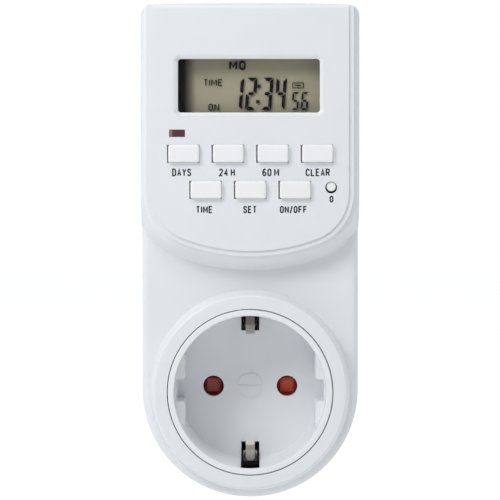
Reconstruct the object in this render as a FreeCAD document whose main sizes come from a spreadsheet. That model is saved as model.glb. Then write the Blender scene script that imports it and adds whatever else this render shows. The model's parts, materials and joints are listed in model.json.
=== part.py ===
import FreeCAD, Part
import math
import os
import Sketcher
from FreeCAD import Placement, Rotation, Vector

# Digital timer socket: a plug-through timer with a stepped head that carries the display and the
# keys, a round collar with the socket recess below it, and a plug body on its back.
# Millimetres. The origin is the centre of the plug's face, on the axis that the socket and the
# plug share. +X is to the right seen from the front, +Z is up, and the front faces -Y.
# A depth is a distance in front of the plug's face, so the point at depth d has y = -d. Heights
# of the head, the keys, the boards and their parts are counted from the middle of the window.

doc = FreeCAD.newDocument("timer_socket")
dim = doc.addObject("Spreadsheet::Sheet", "dim")

sizes = {
    # casing outline, seen from the front
    "half_width": 27.3,
    "top_height": 20.7,
    "top_camber": 0.5,
    "top_corner": 2.6,
    "top_round": 1.6,
    "wall": 2.0,
    "edge_round": 1.6,
    "back_round": 1.5,
    # depths of the casing
    "front_shell": 18.5,
    "body_depth": 51.5,
    "head_rise": 6.8,
    "mouth_rise": 7.0,
    # stepped head
    "tongue_side": 2.7,
    "tongue_bottom": -41.2,
    "tongue_corner": 12.4,
    "tongue_arc": 47.5,
    "strip_wide": 1.3,
    "ledge_wide": 0.9,
    "flank_wide": 2.8,
    "flank_round": 2.2,
    "step_drop": 0.5,
    # lip between the two shells
    "lip_tall": 1.5,
    "lip_clear": 0.1,
    # collar and socket pot
    "collar_side": 2.0,
    "collar_lean": 1.2,
    "collar_round": 0.6,
    "recess_side": 8.3,
    "recess_taper": 0.4,
    "recess_deep": 17.5,
    "pot_wall": 1.55,
    "pot_clear": 0.2,
    "pot_round": 0.3,
    "floor_thick": 2.5,
    "flange_reach": 3.25,
    "flange_thick": 2.0,
    "skirt_deep": 4.3,
    "skirt_wall": 2.35,
    "guide_in": 2.55,
    "guide_down": 4.8,
    "guide_notch": 5.5,
    "guide_round": 0.8,
    "mark_ring": 3.35,
    "mark_line": 0.35,
    "mark_rise": 0.25,
    # plug and pins
    "plug_half": 18.4,
    "plug_face": 3.0,
    "plug_bore": 14.8,
    "plug_flat": 16.15,
    "plug_rib": 4.6,
    "plug_chamfer": 0.8,
    "pin_spread": 9.5,
    "pin_half": 2.4,
    "pin_long": 19.0,
    "pin_nose": 1.6,
    "pin_flange": 3.4,
    "pin_flange_thick": 1.5,
    "pin_seat_half": 2.7,
    "pin_tail_half": 1.5,
    "pin_tail_long": 4.6,
    "pin_fit": 0.02,
    "hole_half": 2.68,
    # earth parts
    "earth_slot": 4.65,
    "earth_slot_in": 4.65,
    "earth_slot_down": 0.7,
    "earth_relief": 1.8,
    "earth_wide": 3.5,
    "earth_neck": 2.3,
    "earth_thick": 0.6,
    "earth_in": 2.1,
    "clip_bend_down": 17.0,
    "clip_out_down": 14.9,
    "clip_out_in": 0.4,
    "clip_tip_down": 11.6,
    "clip_tip_in": 5.0,
    "clip_corner_down": 13.0,
    "clip_corner_in": 3.1,
    "clip_wide_in": 1.6,
    "tongue_end_in": 0.3,
    "tongue_end_round": 1.1,
    "groove_wide": 6.6,
    "groove_floor": 16.3,
    "plug_earth_wide": 5.0,
    "plug_earth_thick": 0.8,
    "plug_earth_inside": 1.5,
    "plug_earth_set_back": 1.0,
    "link_wide": 4.0,
    "link_thick": 0.6,
    "link_run": 5.0,
    "link_low": 3.0,
    # shutter
    "shutter_half": 12.6,
    "shutter_thick": 1.9,
    "shutter_gap": 0.2,
    "shutter_hole": 2.9,
    "shutter_turn": 35.0,
    "pivot_half": 1.92,
    "pivot_clear": 0.08,
    "pivot_short": 0.3,
    "spring_coil": 3.2,
    "spring_wire": 0.5,
    "spring_pitch": 0.58,
    "spring_turns": 2.25,
    "spring_leg": 4.2,
    # contact carrier and contacts
    "carrier_thick": 2.0,
    "cell_wide": 11.6,
    "cell_tall": 13.0,
    "cell_wall": 1.0,
    "cell_deep": 7.6,
    "contact_room": 4.1,
    "contact_gap": 4.5,
    "contact_thick": 0.8,
    "contact_low": 2.2,
    "contact_high": 3.6,
    "contact_deep": 6.0,
    "tab_wide": 3.2,
    "tab_top": 11.2,
    "tab_thick": 0.8,
    # straps
    "strap_wide": 4.2,
    "strap_thick": 0.8,
    "strap_climb": 8.2,
    "strap_foot": 3.2,
    "strap_clear": 2.0,
    "live_in_top": -34.4,
    "out_top": -37.8,
    # display
    "window_mid": -0.3,
    "window_height": 76.4,
    "window_side": 6.9,
    "window_tall": 13.35,
    "window_bevel": 1.2,
    "window_bevel_deep": 1.0,
    "window_corner": 0.8,
    "pane_rim": 1.4,
    "pane_rim_thick": 0.8,
    "pane_plug_thick": 0.9,
    "pane_clear": 0.1,
    "glass_over": 1.1,
    "glass_tall": 17.0,
    "glass_thick": 2.6,
    "glass_gap": 0.2,
    "frame_rim": 1.3,
    "frame_shelf": 0.9,
    "strip_rubber_in": 2.8,
    "strip_rubber_tall": 1.8,
    # LED and its window
    "led_side": 6.4,
    "led_z": -11.9,
    "led_wide": 3.96,
    "led_tall": 1.85,
    "led_rim": 1.0,
    "led_rim_thick": 0.8,
    "led_half": 1.5,
    "led_sunk": 0.15,
    # keys
    "key_side": 2.4,
    "key_row_high": -17.0,
    "key_row_low": -26.0,
    "key_hole_wide": 8.1,
    "key_hole_tall": 4.5,
    "key_clear": 0.22,
    "key_shift": 0.08,
    "key_proud": 1.2,
    "key_round": 0.5,
    "key_rim_x": 0.7,
    "key_rim_z": 0.6,
    "key_rim_thick": 1.0,
    "key_rim_gap": 0.05,
    "key_stem": 1.6,
    "reset_shift": 0.325,
    "reset_z": -25.4,
    "reset_hole": 1.475,
    "reset_half": 1.2,
    "reset_lift": 0.22,
    "reset_sunk": 0.3,
    "reset_rim": 2.25,
    "mat_thick": 0.7,
    "mat_left_in": 2.0,
    "mat_right_in": 0.3,
    "mat_low": -29.2,
    "mat_high": -13.6,
    "dome_half": 2.8,
    "dome_top": 1.8,
    "dome_rise": 1.6,
    "dome_gap": 0.2,
    # control board
    "board_gap": 6.3,
    "board_thick": 1.6,
    "board_side": 1.0,
    "board_low": -32.4,
    "board_high": 10.0,
    "board_corner": 6.0,
    "chip_side": 10.0,
    "chip_thick": 1.2,
    "crystal_half": 1.5,
    "crystal_long": 6.0,
    "front_post": 1.8,
    "front_post_low_in": 6.0,
    "front_post_low_z": -30.0,
    "front_post_high_in": 1.1,
    "front_post_high_z": 7.8,
    # power board and its parts
    "power_rise": 3.8,
    "power_side": 4.8,
    "power_low": -40.2,
    "power_high": 8.8,
    "power_post": 2.4,
    "power_post_in": 2.5,
    "power_post_low": -36.8,
    "power_post_high": 5.0,
    "relay_x": 10.0,
    "relay_z": -25.4,
    "relay_wide": 19.2,
    "relay_tall": 15.4,
    "relay_high": 15.2,
    "film_x": -10.6,
    "film_z": -28.2,
    "film_wide": 18.0,
    "film_tall": 8.4,
    "film_high": 14.0,
    "can_x": -14.6,
    "can_z": -18.0,
    "can_pitch": 9.2,
    "can_half": 4.0,
    "can_high": 11.5,
    "varistor_x": 10.0,
    "varistor_z": -37.2,
    "varistor_half": 4.0,
    "varistor_thick": 3.6,
    "fuse_x": -8.0,
    "fuse_z": -36.4,
    "fuse_half": 1.9,
    "fuse_long": 8.5,
    "cell_x": 12.0,
    "cell_z": -7.4,
    "cell_half": 7.75,
    "cell_high": 6.0,
    "diode_x": -15.0,
    "diode_z": -9.9,
    "diode_half": 1.35,
    "diode_long": 5.0,
    "diode_pitch": 4.0,
    "resistor_x": -5.0,
    "resistor_half": 1.6,
    "resistor_long": 7.0,
    "driver_x": 0.6,
    "driver_z": -14.8,
    "driver_half": 2.3,
    "driver_flat": 1.4,
    "driver_high": 5.0,
    "header_z": 4.0,
    "header_pins": 7,
    "header_pitch": 2.54,
    "header_pin": 0.64,
    "header_base": 2.5,
    # screws
    "screw_side": 6.8,
    "screw_high": 14.1,
    "screw_low": -45.4,
    "screw_half": 1.45,
    "screw_clear": 0.06,
    "screw_head": 2.8,
    "screw_head_thick": 2.0,
    "screw_long": 16.0,
    "screw_seat": 4.5,
    "boss_front": 3.2,
    "boss_rear": 4.6,
    "small_screw": 0.8,
    "small_clear": 0.06,
    "small_head": 1.5,
    "small_head_thick": 1.0,
    "small_long": 5.0,
    "drive_wide": 0.5,
    "drive_deep": 0.5,
    "drive_reach": 1.4,
    "pot_screw_in": 1.5,
    "carrier_screw_in": 1.2,
}
for row, (alias, value) in enumerate(sizes.items(), start=1):
    dim.set(f"A{row}", str(value))
    dim.setAlias(f"A{row}", alias)
doc.recompute()


def high(alias):
    """A height that the sheet counts from the middle of the window."""
    return f"(dim.window_height + dim.{alias})"


# Derived places across and up the casing, as expressions of the sheet's sizes.
top_height = high("top_height")
tongue_half = "(dim.half_width - dim.tongue_side)"
tongue_bottom = high("tongue_bottom")
collar_base = "(dim.half_width - dim.collar_side)"
recess_mouth = "(dim.half_width - dim.recess_side)"
recess_floor = f"({recess_mouth} - dim.recess_taper)"
pot_half = f"({recess_mouth} + dim.pot_wall)"
pot_inside = f"({pot_half} - dim.skirt_wall)"
flange_half = f"({pot_half} + dim.flange_reach)"
guide_face = f"({recess_mouth} - dim.guide_in)"
earth_slot_in = f"({recess_mouth} - dim.earth_slot_in)"
earth_reach = f"({recess_mouth} - dim.earth_in)"
clip_tip_reach = f"({recess_mouth} - dim.clip_tip_in)"
clip_out_reach = f"({recess_mouth} - dim.clip_out_in)"
tongue_end_reach = f"({recess_mouth} - dim.tongue_end_in)"
clip_wide_reach = f"({recess_mouth} - dim.clip_wide_in)"
clip_corner_reach = f"({recess_mouth} - dim.clip_corner_in)"
pot_screw_ring = f"({flange_half} - dim.pot_screw_in)"
carrier_screw_ring = f"({pot_half} - dim.carrier_screw_in)"
board_half = f"({tongue_half} - dim.board_side)"
front_post_low_x = f"({board_half} - dim.front_post_low_in)"
front_post_high_x = f"({board_half} - dim.front_post_high_in)"
power_half = "(dim.half_width - dim.power_side)"
power_post_x = f"({power_half} - dim.power_post_in)"
screw_x = "(dim.half_width - dim.screw_side)"
window_wide = f"(2 * ({tongue_half} - dim.window_side))"
glass_wide = f"({window_wide} + 2 * dim.glass_over)"
strip_rubber_wide = f"({glass_wide} - 2 * dim.strip_rubber_in)"
led_x = f"-({tongue_half} - dim.led_side)"
key_pitch = f"(({tongue_half} - dim.key_side) / 2)"
last_key_edge = f"({key_pitch} + dim.key_hole_wide / 2)"
reset_x = f"(({last_key_edge} + {tongue_half}) / 2 + dim.reset_shift)"
screw_hole = "(dim.screw_half + dim.screw_clear)"
small_hole = "(dim.small_screw + dim.small_clear)"


# Derived depths: the pot hangs from its mouth, and the casing's back and the boards follow it.
head_depth = "(dim.body_depth + dim.head_rise)"
mouth_depth = "(dim.body_depth + dim.mouth_rise)"
floor_depth = f"({mouth_depth} - dim.recess_deep)"
floor_back = f"({floor_depth} - dim.floor_thick)"
skirt_back = f"({floor_back} - dim.skirt_deep)"
carrier_back = f"({skirt_back} - dim.carrier_thick)"
tab_back = f"({carrier_back} - dim.cell_deep)"
room_deep = f"({tab_back} - dim.contact_room)"
back_depth = f"({room_deep} - dim.wall)"
parting_depth = "(dim.body_depth - dim.front_shell)"
well_front = f"({parting_depth} - dim.screw_seat)"
plug_earth_cross = f"({back_depth} - dim.plug_earth_inside)"
earth_cross = f"({carrier_back} - dim.earth_thick / 2)"
clip_bend_depth = f"({mouth_depth} - dim.clip_bend_down)"
clip_out_depth = f"({mouth_depth} - dim.clip_out_down)"
clip_tip_depth = f"({mouth_depth} - dim.clip_tip_down)"
clip_corner_depth = f"({mouth_depth} - dim.clip_corner_down)"
# the strip's thickness as cut by a plane across the depth at its leaning tip
clip_section_high = ("(dim.earth_thick * sqrt(1 + ((dim.clip_tip_in - dim.clip_corner_in)"
                     " / (dim.clip_corner_down - dim.clip_tip_down)) ^ 2))")
slot_front = f"({mouth_depth} - dim.earth_slot_down)"
flange_front = "(dim.body_depth - dim.wall)"
shutter_front = f"({floor_back} - dim.shutter_gap)"
shutter_back = f"({shutter_front} - dim.shutter_thick)"
head_inside = f"({head_depth} - dim.wall)"
pane_back = f"({head_inside} - dim.pane_rim_thick)"
glass_front = f"({pane_back} - dim.glass_gap)"
glass_back = f"({glass_front} - dim.glass_thick)"
board_front = f"({head_inside} - dim.board_gap)"
board_back = f"({board_front} - dim.board_thick)"
power_depth = f"({tab_back} + dim.power_rise)"
power_front = f"({power_depth} + dim.board_thick)"
key_rim_front = f"({head_inside} - dim.key_rim_gap)"
key_rim_back = f"({key_rim_front} - dim.key_rim_thick)"
mat_front = f"({board_front} + dim.mat_thick)"
dome_front = f"({mat_front} + dim.dome_rise)"
stem_back = f"({dome_front} + dim.dome_gap)"


def value(expression):
    """The number that an expression of the sheet's sizes gives now."""
    return float(dim.evalExpression(str(expression)))


same_place = 1e-3


# Outlines are lists of steps: ("line", x, z) or ("arc", x, z, radius, turn), each step going from
# the last point to (x, z). An arc is under half a circle and turns left or right.
def rectangle(x, z, wide, tall):
    left, right = f"({x}) - ({wide}) / 2", f"({x}) + ({wide}) / 2"
    low, high = f"({z}) - ({tall}) / 2", f"({z}) + ({tall}) / 2"
    return [("line", left, low), ("line", right, low), ("line", right, high), ("line", left, high)]


def softRectangle(x, z, wide, tall, corner):
    """A rectangle centred on (x, z) whose corners are rounded."""
    left, right = f"(({x}) - ({wide}) / 2)", f"(({x}) + ({wide}) / 2)"
    low, high = f"(({z}) - ({tall}) / 2)", f"(({z}) + ({tall}) / 2)"
    return [
        ("arc", left, f"{high} - {corner}", corner, "left"),
        ("line", left, f"{low} + {corner}"),
        ("arc", f"{left} + {corner}", low, corner, "left"),
        ("line", f"{right} - {corner}", low),
        ("arc", right, f"{low} + {corner}", corner, "left"),
        ("line", right, f"{high} - {corner}"),
        ("arc", f"{right} - {corner}", high, corner, "left"),
        ("line", f"{left} + {corner}", high),
    ]


def corners(left, low, right, high):
    return [("line", left, low), ("line", right, low), ("line", right, high), ("line", left, high)]


def circle(x, z, radius):
    return ("circle", x, z, radius)


def newBody(name):
    body = doc.addObject("PartDesign::Body", name)
    body.Label = name
    return body


def originPlane(body, role):
    return next(feature for feature in body.Origin.OriginFeatures if feature.Role == role)


def sketchOn(body, outlines, offset, role="XZ_Plane", closed=True):
    """A sketch on one of the body's origin planes, moved along its normal by an expression."""
    sketch = body.newObject("Sketcher::SketchObject", body.Name + "_sketch")
    sketch.AttachmentSupport = [(originPlane(body, role), "")]
    sketch.MapMode = "FlatFace"
    sketch.setExpression("AttachmentOffset.Base.z", offset)
    for outline in outlines:
        if outline[0] == "circle":
            addCircle(sketch, *outline[1:])
        else:
            addPath(sketch, outline, closed)
    return sketch


def bind(sketch, kind, *place, expression):
    number = sketch.addConstraint(Sketcher.Constraint(kind, *place, value(expression)))
    sketch.setExpression(f"Constraints[{number}]", expression)


def addCircle(sketch, x, z, radius):
    centre = Vector(value(x), value(z), 0)
    edge = sketch.addGeometry(Part.Circle(centre, Vector(0, 0, 1), value(radius)))
    bind(sketch, "DistanceX", -1, 1, edge, 3, expression=x)
    bind(sketch, "DistanceY", -1, 1, edge, 3, expression=z)
    bind(sketch, "Radius", edge, expression=radius)


def addPath(sketch, steps, closed):
    points = [Vector(value(step[1]), value(step[2]), 0) for step in steps]
    edges = []
    count = len(steps) if closed else len(steps) - 1
    for index in range(count):
        target = (index + 1) % len(steps)
        edges.append(addStep(sketch, points[index], points[target], steps[target]))
    for index, (edge, begin, end) in enumerate(edges):
        bind(sketch, "DistanceX", -1, 1, edge, begin, expression=steps[index][1])
        bind(sketch, "DistanceY", -1, 1, edge, begin, expression=steps[index][2])
        if closed or index + 1 < len(edges):
            following = edges[(index + 1) % len(edges)]
            sketch.addConstraint(Sketcher.Constraint("Coincident", edge, end, following[0], following[1]))
    if not closed:
        edge, begin, end = edges[-1]
        bind(sketch, "DistanceX", -1, 1, edge, end, expression=steps[-1][1])
        bind(sketch, "DistanceY", -1, 1, edge, end, expression=steps[-1][2])


def addStep(sketch, start, stop, step):
    """Adds one edge, and returns it with the numbers of its first and last point."""
    if step[0] == "line":
        return sketch.addGeometry(Part.LineSegment(start, stop)), 1, 2
    radius = value(step[3])
    chord = stop - start
    rise = math.sqrt(max(radius ** 2 - (chord.Length / 2) ** 2, 0))
    left = Vector(-chord.y, chord.x, 0).normalize()
    centre = (start + stop) / 2 + left * (rise if step[4] == "left" else -rise)
    first, last = (start, stop) if step[4] == "left" else (stop, start)
    angles = [math.atan2(point.y - centre.y, point.x - centre.x) for point in (first, last)]
    arc = Part.ArcOfCircle(Part.Circle(centre, Vector(0, 0, 1), radius), *angles)
    edge = sketch.addGeometry(arc)
    bind(sketch, "Radius", edge, expression=step[3])
    return (edge, 1, 2) if step[4] == "left" else (edge, 2, 1)


def pad(body, outlines, start, stop, taper=None):
    """Adds material between two depths. A positive taper widens it towards the front."""
    feature = body.newObject("PartDesign::Pad", body.Name + "_pad")
    feature.Profile = sketchOn(body, outlines, start)
    feature.setExpression("Length", f"({stop}) - ({start})")
    if taper:
        feature.setExpression("TaperAngle", taper)
    return feature


def pocket(body, outlines, start, stop, taper=None):
    """Removes material between two depths, from the back one forwards."""
    feature = body.newObject("PartDesign::Pocket", body.Name + "_pocket")
    feature.Profile = sketchOn(body, outlines, start)
    feature.Reversed = True
    feature.setExpression("Length", f"({stop}) - ({start})")
    if taper:
        feature.setExpression("TaperAngle", taper)
    return feature


def sink(body, outlines, front, deep, taper=None):
    """Removes material from a front face backwards."""
    feature = body.newObject("PartDesign::Pocket", body.Name + "_sink")
    feature.Profile = sketchOn(body, outlines, front)
    feature.setExpression("Length", deep)
    if taper:
        feature.setExpression("TaperAngle", taper)
    return feature


def dressEdges(body, kind, wanted):
    """Starts a fillet or a chamfer on the edges of the body that the test picks."""
    doc.recompute()
    base = body.Tip
    names = [f"Edge{number}" for number, edge in enumerate(base.Shape.Edges, start=1) if wanted(edge)]
    feature = body.newObject("PartDesign::" + kind, body.Name + "_" + kind.lower())
    feature.Base = (base, names)
    return feature


def roundEdges(body, radius, wanted):
    dressEdges(body, "Fillet", wanted).setExpression("Radius", radius)


def bevelEdges(body, size, wanted):
    dressEdges(body, "Chamfer", wanted).setExpression("Size", size)


def atDepth(edge, depth):
    box = edge.BoundBox
    return abs(box.YMin + depth) < same_place and abs(box.YMax + depth) < same_place


def strip(name, points, wide, thick, x="0"):
    """A bent strip of constant width that follows a line in a plane across X."""
    body = newBody(name)
    path = sketchOn(body, [[("line", f"-({depth})", height) for depth, height in points]], x,
                    "YZ_Plane", closed=False)
    if value(points[0][0]) == value(points[1][0]):
        section = rectangle(x, f"-({points[0][0]})", wide, thick)
        profile = sketchOn(body, [section], points[0][1], "XY_Plane")
    else:
        section = rectangle(x, points[0][1], wide, thick)
        profile = sketchOn(body, [section], points[0][0])
    doc.recompute()
    pipe = body.newObject("PartDesign::AdditivePipe", name + "_bend")
    pipe.Profile = profile
    pipe.Spine = (path, [])
    pipe.Transition = "Right corner"
    return body


def cylinder(name, x, z, radius, start, stop):
    """A round bar along the depth axis, between two depths."""
    bar = doc.addObject("Part::Cylinder", name)
    bar.Placement = Placement(Vector(), Rotation(Vector(1, 0, 0), 90))
    bar.setExpression("Radius", radius)
    bar.setExpression("Height", f"({stop}) - ({start})")
    bar.setExpression("Placement.Base.x", x)
    bar.setExpression("Placement.Base.y", f"-({start})")
    bar.setExpression("Placement.Base.z", z)
    return bar


def block(name, x, z, wide, tall, start, stop):
    """A box centred on (x, z), between two depths."""
    box = doc.addObject("Part::Box", name)
    box.setExpression("Length", wide)
    box.setExpression("Width", f"({stop}) - ({start})")
    box.setExpression("Height", tall)
    box.setExpression("Placement.Base.x", f"({x}) - ({wide}) / 2")
    box.setExpression("Placement.Base.y", f"-({stop})")
    box.setExpression("Placement.Base.z", f"({z}) - ({tall}) / 2")
    return box


def lyingBar(name, x, z, depth, radius, long):
    """A round bar along X, centred on (x, z), with its axis at a depth."""
    bar = doc.addObject("Part::Cylinder", name)
    bar.Placement = Placement(Vector(), Rotation(Vector(0, 1, 0), 90))
    bar.setExpression("Radius", radius)
    bar.setExpression("Height", long)
    bar.setExpression("Placement.Base.x", f"({x}) - ({long}) / 2")
    bar.setExpression("Placement.Base.y", f"-({depth})")
    bar.setExpression("Placement.Base.z", z)
    return bar


def fuse(name, pieces):
    joined = doc.addObject("Part::MultiFuse", name)
    joined.Shapes = pieces
    return joined


def cut(name, base, tool):
    result = doc.addObject("Part::Cut", name)
    result.Base = base
    result.Tool = tool
    return result


def group(name, pieces):
    together = doc.addObject("Part::Compound", name)
    together.Links = pieces
    return together


def rounded(name, base, radius):
    """Rounds every edge of a simple solid."""
    doc.recompute()
    result = doc.addObject("Part::Fillet", name)
    result.Base = base
    size = value(radius)
    result.Edges = [(number, size, size) for number in range(1, len(base.Shape.Edges) + 1)]
    return result


def casingOutline(inset, corner):
    """The casing seen from the front: straight sides, a slightly cambered top, a half-round foot."""
    side = f"(dim.half_width - {inset})"
    shoulder = f"({top_height} - dim.top_camber - {inset})"
    bend = f"({side} - {corner})"
    camber = f"(({bend})^2 + dim.top_camber^2) / (2 * dim.top_camber)"
    return [
        ("line", f"-{side}", "0"),
        ("arc", "0", f"-{side}", side, "left"),
        ("arc", side, "0", side, "left"),
        ("line", side, f"{shoulder} - {corner}"),
        ("arc", bend, shoulder, corner, "left"),
        ("arc", f"-{bend}", shoulder, camber, "left"),
        ("arc", f"-{side}", f"{shoulder} - {corner}", corner, "left"),
    ]


def tongueOutline(offset, top):
    """The head's outline: a rounded tongue below straight sides that run up past the top."""
    side = f"({tongue_half} + {offset})"
    corner = f"(dim.tongue_corner + {offset})"
    arc = f"(dim.tongue_arc + {offset})"
    centre_x = f"({tongue_half} - dim.tongue_corner)"
    between = "(dim.tongue_arc - dim.tongue_corner)"
    fall = f"sqrt({between}^2 - {centre_x}^2)"
    arc_z = f"({tongue_bottom} + dim.tongue_arc)"
    corner_z = f"({arc_z} - {fall})"
    meet_x = f"({centre_x} * {arc} / {between})"
    meet_z = f"({arc_z} - {fall} * {arc} / {between})"
    return [
        ("line", f"-{side}", top),
        ("line", f"-{side}", corner_z),
        ("arc", f"-{meet_x}", meet_z, corner, "left"),
        ("arc", meet_x, meet_z, arc, "left"),
        ("arc", side, corner_z, corner, "left"),
        ("line", side, top),
    ]


keys = {
    "day_key": (f"-1.5 * {key_pitch}", high("key_row_high")),
    "hour_key": (f"-0.5 * {key_pitch}", high("key_row_high")),
    "minute_key": (f"0.5 * {key_pitch}", high("key_row_high")),
    "recall_key": (f"1.5 * {key_pitch}", high("key_row_high")),
    "clock_key": (f"-{key_pitch}", high("key_row_low")),
    "program_key": ("0", high("key_row_low")),
    "mode_key": (key_pitch, high("key_row_low")),
}
screw_heights = (high("screw_high"), high("screw_low"))
casing_screws = [(side + screw_x, z) for side in ("-", "") for z in screw_heights]
front_posts = [(side + front_post_low_x, high("front_post_low_z")) for side in ("-", "")]
front_posts += [(side + front_post_high_x, high("front_post_high_z")) for side in ("-", "")]
power_posts = [(side + power_post_x, high("power_post_low")) for side in ("-", "")]
power_posts += [(side + power_post_x, high("power_post_high")) for side in ("-", "")]
diagonal = f"{pot_screw_ring} * sqrt(0.5)"
pot_screw_places = [(f"-{diagonal}", diagonal), (diagonal, f"-{diagonal}")]
pot_screw_places += [(diagonal, diagonal), (f"-{diagonal}", f"-{diagonal}")]
slant = f"{carrier_screw_ring} * sqrt(0.5)"
carrier_screw_places = [(f"-{slant}", slant), (slant, f"-{slant}")]
pins = ("-dim.pin_spread", "dim.pin_spread")


# Front housing: the body with its half-round foot, the stepped head, the collar and the screw posts.
def frontHousing():
    body = newBody("front_housing")
    pad(body, [casingOutline("0", "dim.top_corner")], parting_depth, "dim.body_depth")
    roundEdges(body, "dim.edge_round", lambda edge: atDepth(edge, value("dim.body_depth")))
    foot = "(dim.strip_wide + dim.ledge_wide + dim.flank_wide)"
    beyond = f"{top_height} + dim.flank_wide"
    ledge_depth = f"({head_depth} - 2 * dim.step_drop)"
    slope = f"-atan(dim.flank_wide / ({ledge_depth} - dim.body_depth))"
    pad(body, [tongueOutline(foot, beyond)], parting_depth, "dim.body_depth")
    pad(body, [tongueOutline(foot, beyond)], "dim.body_depth", ledge_depth, slope)
    roundEdges(body, "dim.flank_round", lambda edge: atDepth(edge, value(ledge_depth)) and
               edge.BoundBox.ZMin < value(top_height))
    pad(body, [tongueOutline("dim.strip_wide", beyond)], "dim.body_depth", f"{head_depth} - dim.step_drop")
    pad(body, [tongueOutline("0", beyond)], f"{head_depth} - dim.step_drop", head_depth)
    reach = f"2 * {top_height}"
    frame = [rectangle("0", "0", reach, f"2 * ({reach})"), casingOutline("0", "dim.top_corner")]
    pocket(body, frame, parting_depth, mouth_depth)
    topRounding(body)
    lean = "-atan(dim.collar_lean / dim.mouth_rise)"
    pad(body, [circle("0", "0", collar_base)], "dim.body_depth", mouth_depth, lean)
    roundEdges(body, "dim.collar_round", lambda edge: atDepth(edge, value(mouth_depth)))
    inner = casingOutline("dim.wall", "dim.edge_round")
    pocket(body, [inner], parting_depth, flange_front)
    room = f"{top_height} - dim.top_camber - dim.wall"
    pocket(body, [tongueOutline("0", room)], flange_front, head_inside)
    pocket(body, [circle("0", "0", f"{pot_half} + dim.pot_clear")], flange_front, mouth_depth)
    reliefs = []
    for end in ("-", ""):
        half = "dim.earth_slot / 2"
        reliefs.append(corners(f"-{half}", f"{end}{recess_mouth}", half,
                               f"{end}({pot_half} + dim.earth_relief)"))
    pocket(body, reliefs, flange_front, slot_front)
    lip = "(dim.wall / 2 + dim.lip_clear)"
    ring = [casingOutline(lip, "dim.edge_round"), casingOutline("dim.wall", "dim.edge_round")]
    pad(body, ring, f"{parting_depth} - dim.lip_tall", parting_depth)
    headOpenings(body)
    posts = [circle(x, z, "dim.boss_front") for x, z in casing_screws]
    pad(body, posts[0::2], parting_depth, head_inside)
    pad(body, posts[1::2], parting_depth, flange_front)
    pad(body, [circle(x, z, "dim.front_post") for x, z in front_posts], board_front, head_inside)
    pilot = [circle(x, z, screw_hole) for x, z in casing_screws]
    screw_tip = f"({well_front} + dim.screw_long)"
    pocket(body, pilot, parting_depth, screw_tip)
    small = [circle(x, z, small_hole) for x, z in front_posts]
    pocket(body, small, board_front, f"{board_front} + dim.small_long")
    rim = [circle(x, z, small_hole) for x, z in pot_screw_places]
    pocket(body, rim, flange_front, f"{flange_front} + dim.small_long")
    return body


def topRounding(body):
    """Takes the corner off the head's top edge, along its whole width."""
    edge_z, front = top_height, head_depth
    points = [
        ("line", f"-({front} - dim.top_round)", edge_z),
        ("arc", f"-({front})", f"{edge_z} - dim.top_round", "dim.top_round", "left"),
        ("line", f"-({front} + dim.top_round)", f"{edge_z} - dim.top_round"),
        ("line", f"-({front} + dim.top_round)", f"{edge_z} + dim.top_round"),
        ("line", f"-({front} - dim.top_round)", f"{edge_z} + dim.top_round"),
    ]
    feature = body.newObject("PartDesign::Pocket", "front_housing_top_round")
    feature.Profile = sketchOn(body, [points], "0", "YZ_Plane")
    feature.Midplane = True
    feature.setExpression("Length", "2 * dim.half_width + dim.wall")
    return feature


def headOpenings(body):
    """The bevelled window, the LED slot, the key holes and the reset hole."""
    window = softRectangle("dim.window_mid", "dim.window_height", window_wide, "dim.window_tall",
                           "dim.window_corner")
    pocket(body, [window], head_inside, head_depth)
    mouth = softRectangle("dim.window_mid", "dim.window_height", f"{window_wide} + 2 * dim.window_bevel",
                          "dim.window_tall + 2 * dim.window_bevel",
                          "(dim.window_corner + dim.window_bevel)")
    slope = "-atan(dim.window_bevel / dim.window_bevel_deep)"
    sink(body, [mouth], head_depth, "dim.window_bevel_deep", slope)
    slots = [rectangle(x, z, "dim.key_hole_wide", "dim.key_hole_tall") for x, z in keys.values()]
    slots.append(rectangle(led_x, high("led_z"), "dim.led_wide", "dim.led_tall"))
    slots.append(circle(reset_x, high("reset_z"), "dim.reset_hole"))
    pocket(body, slots, head_inside, head_depth)


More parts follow.
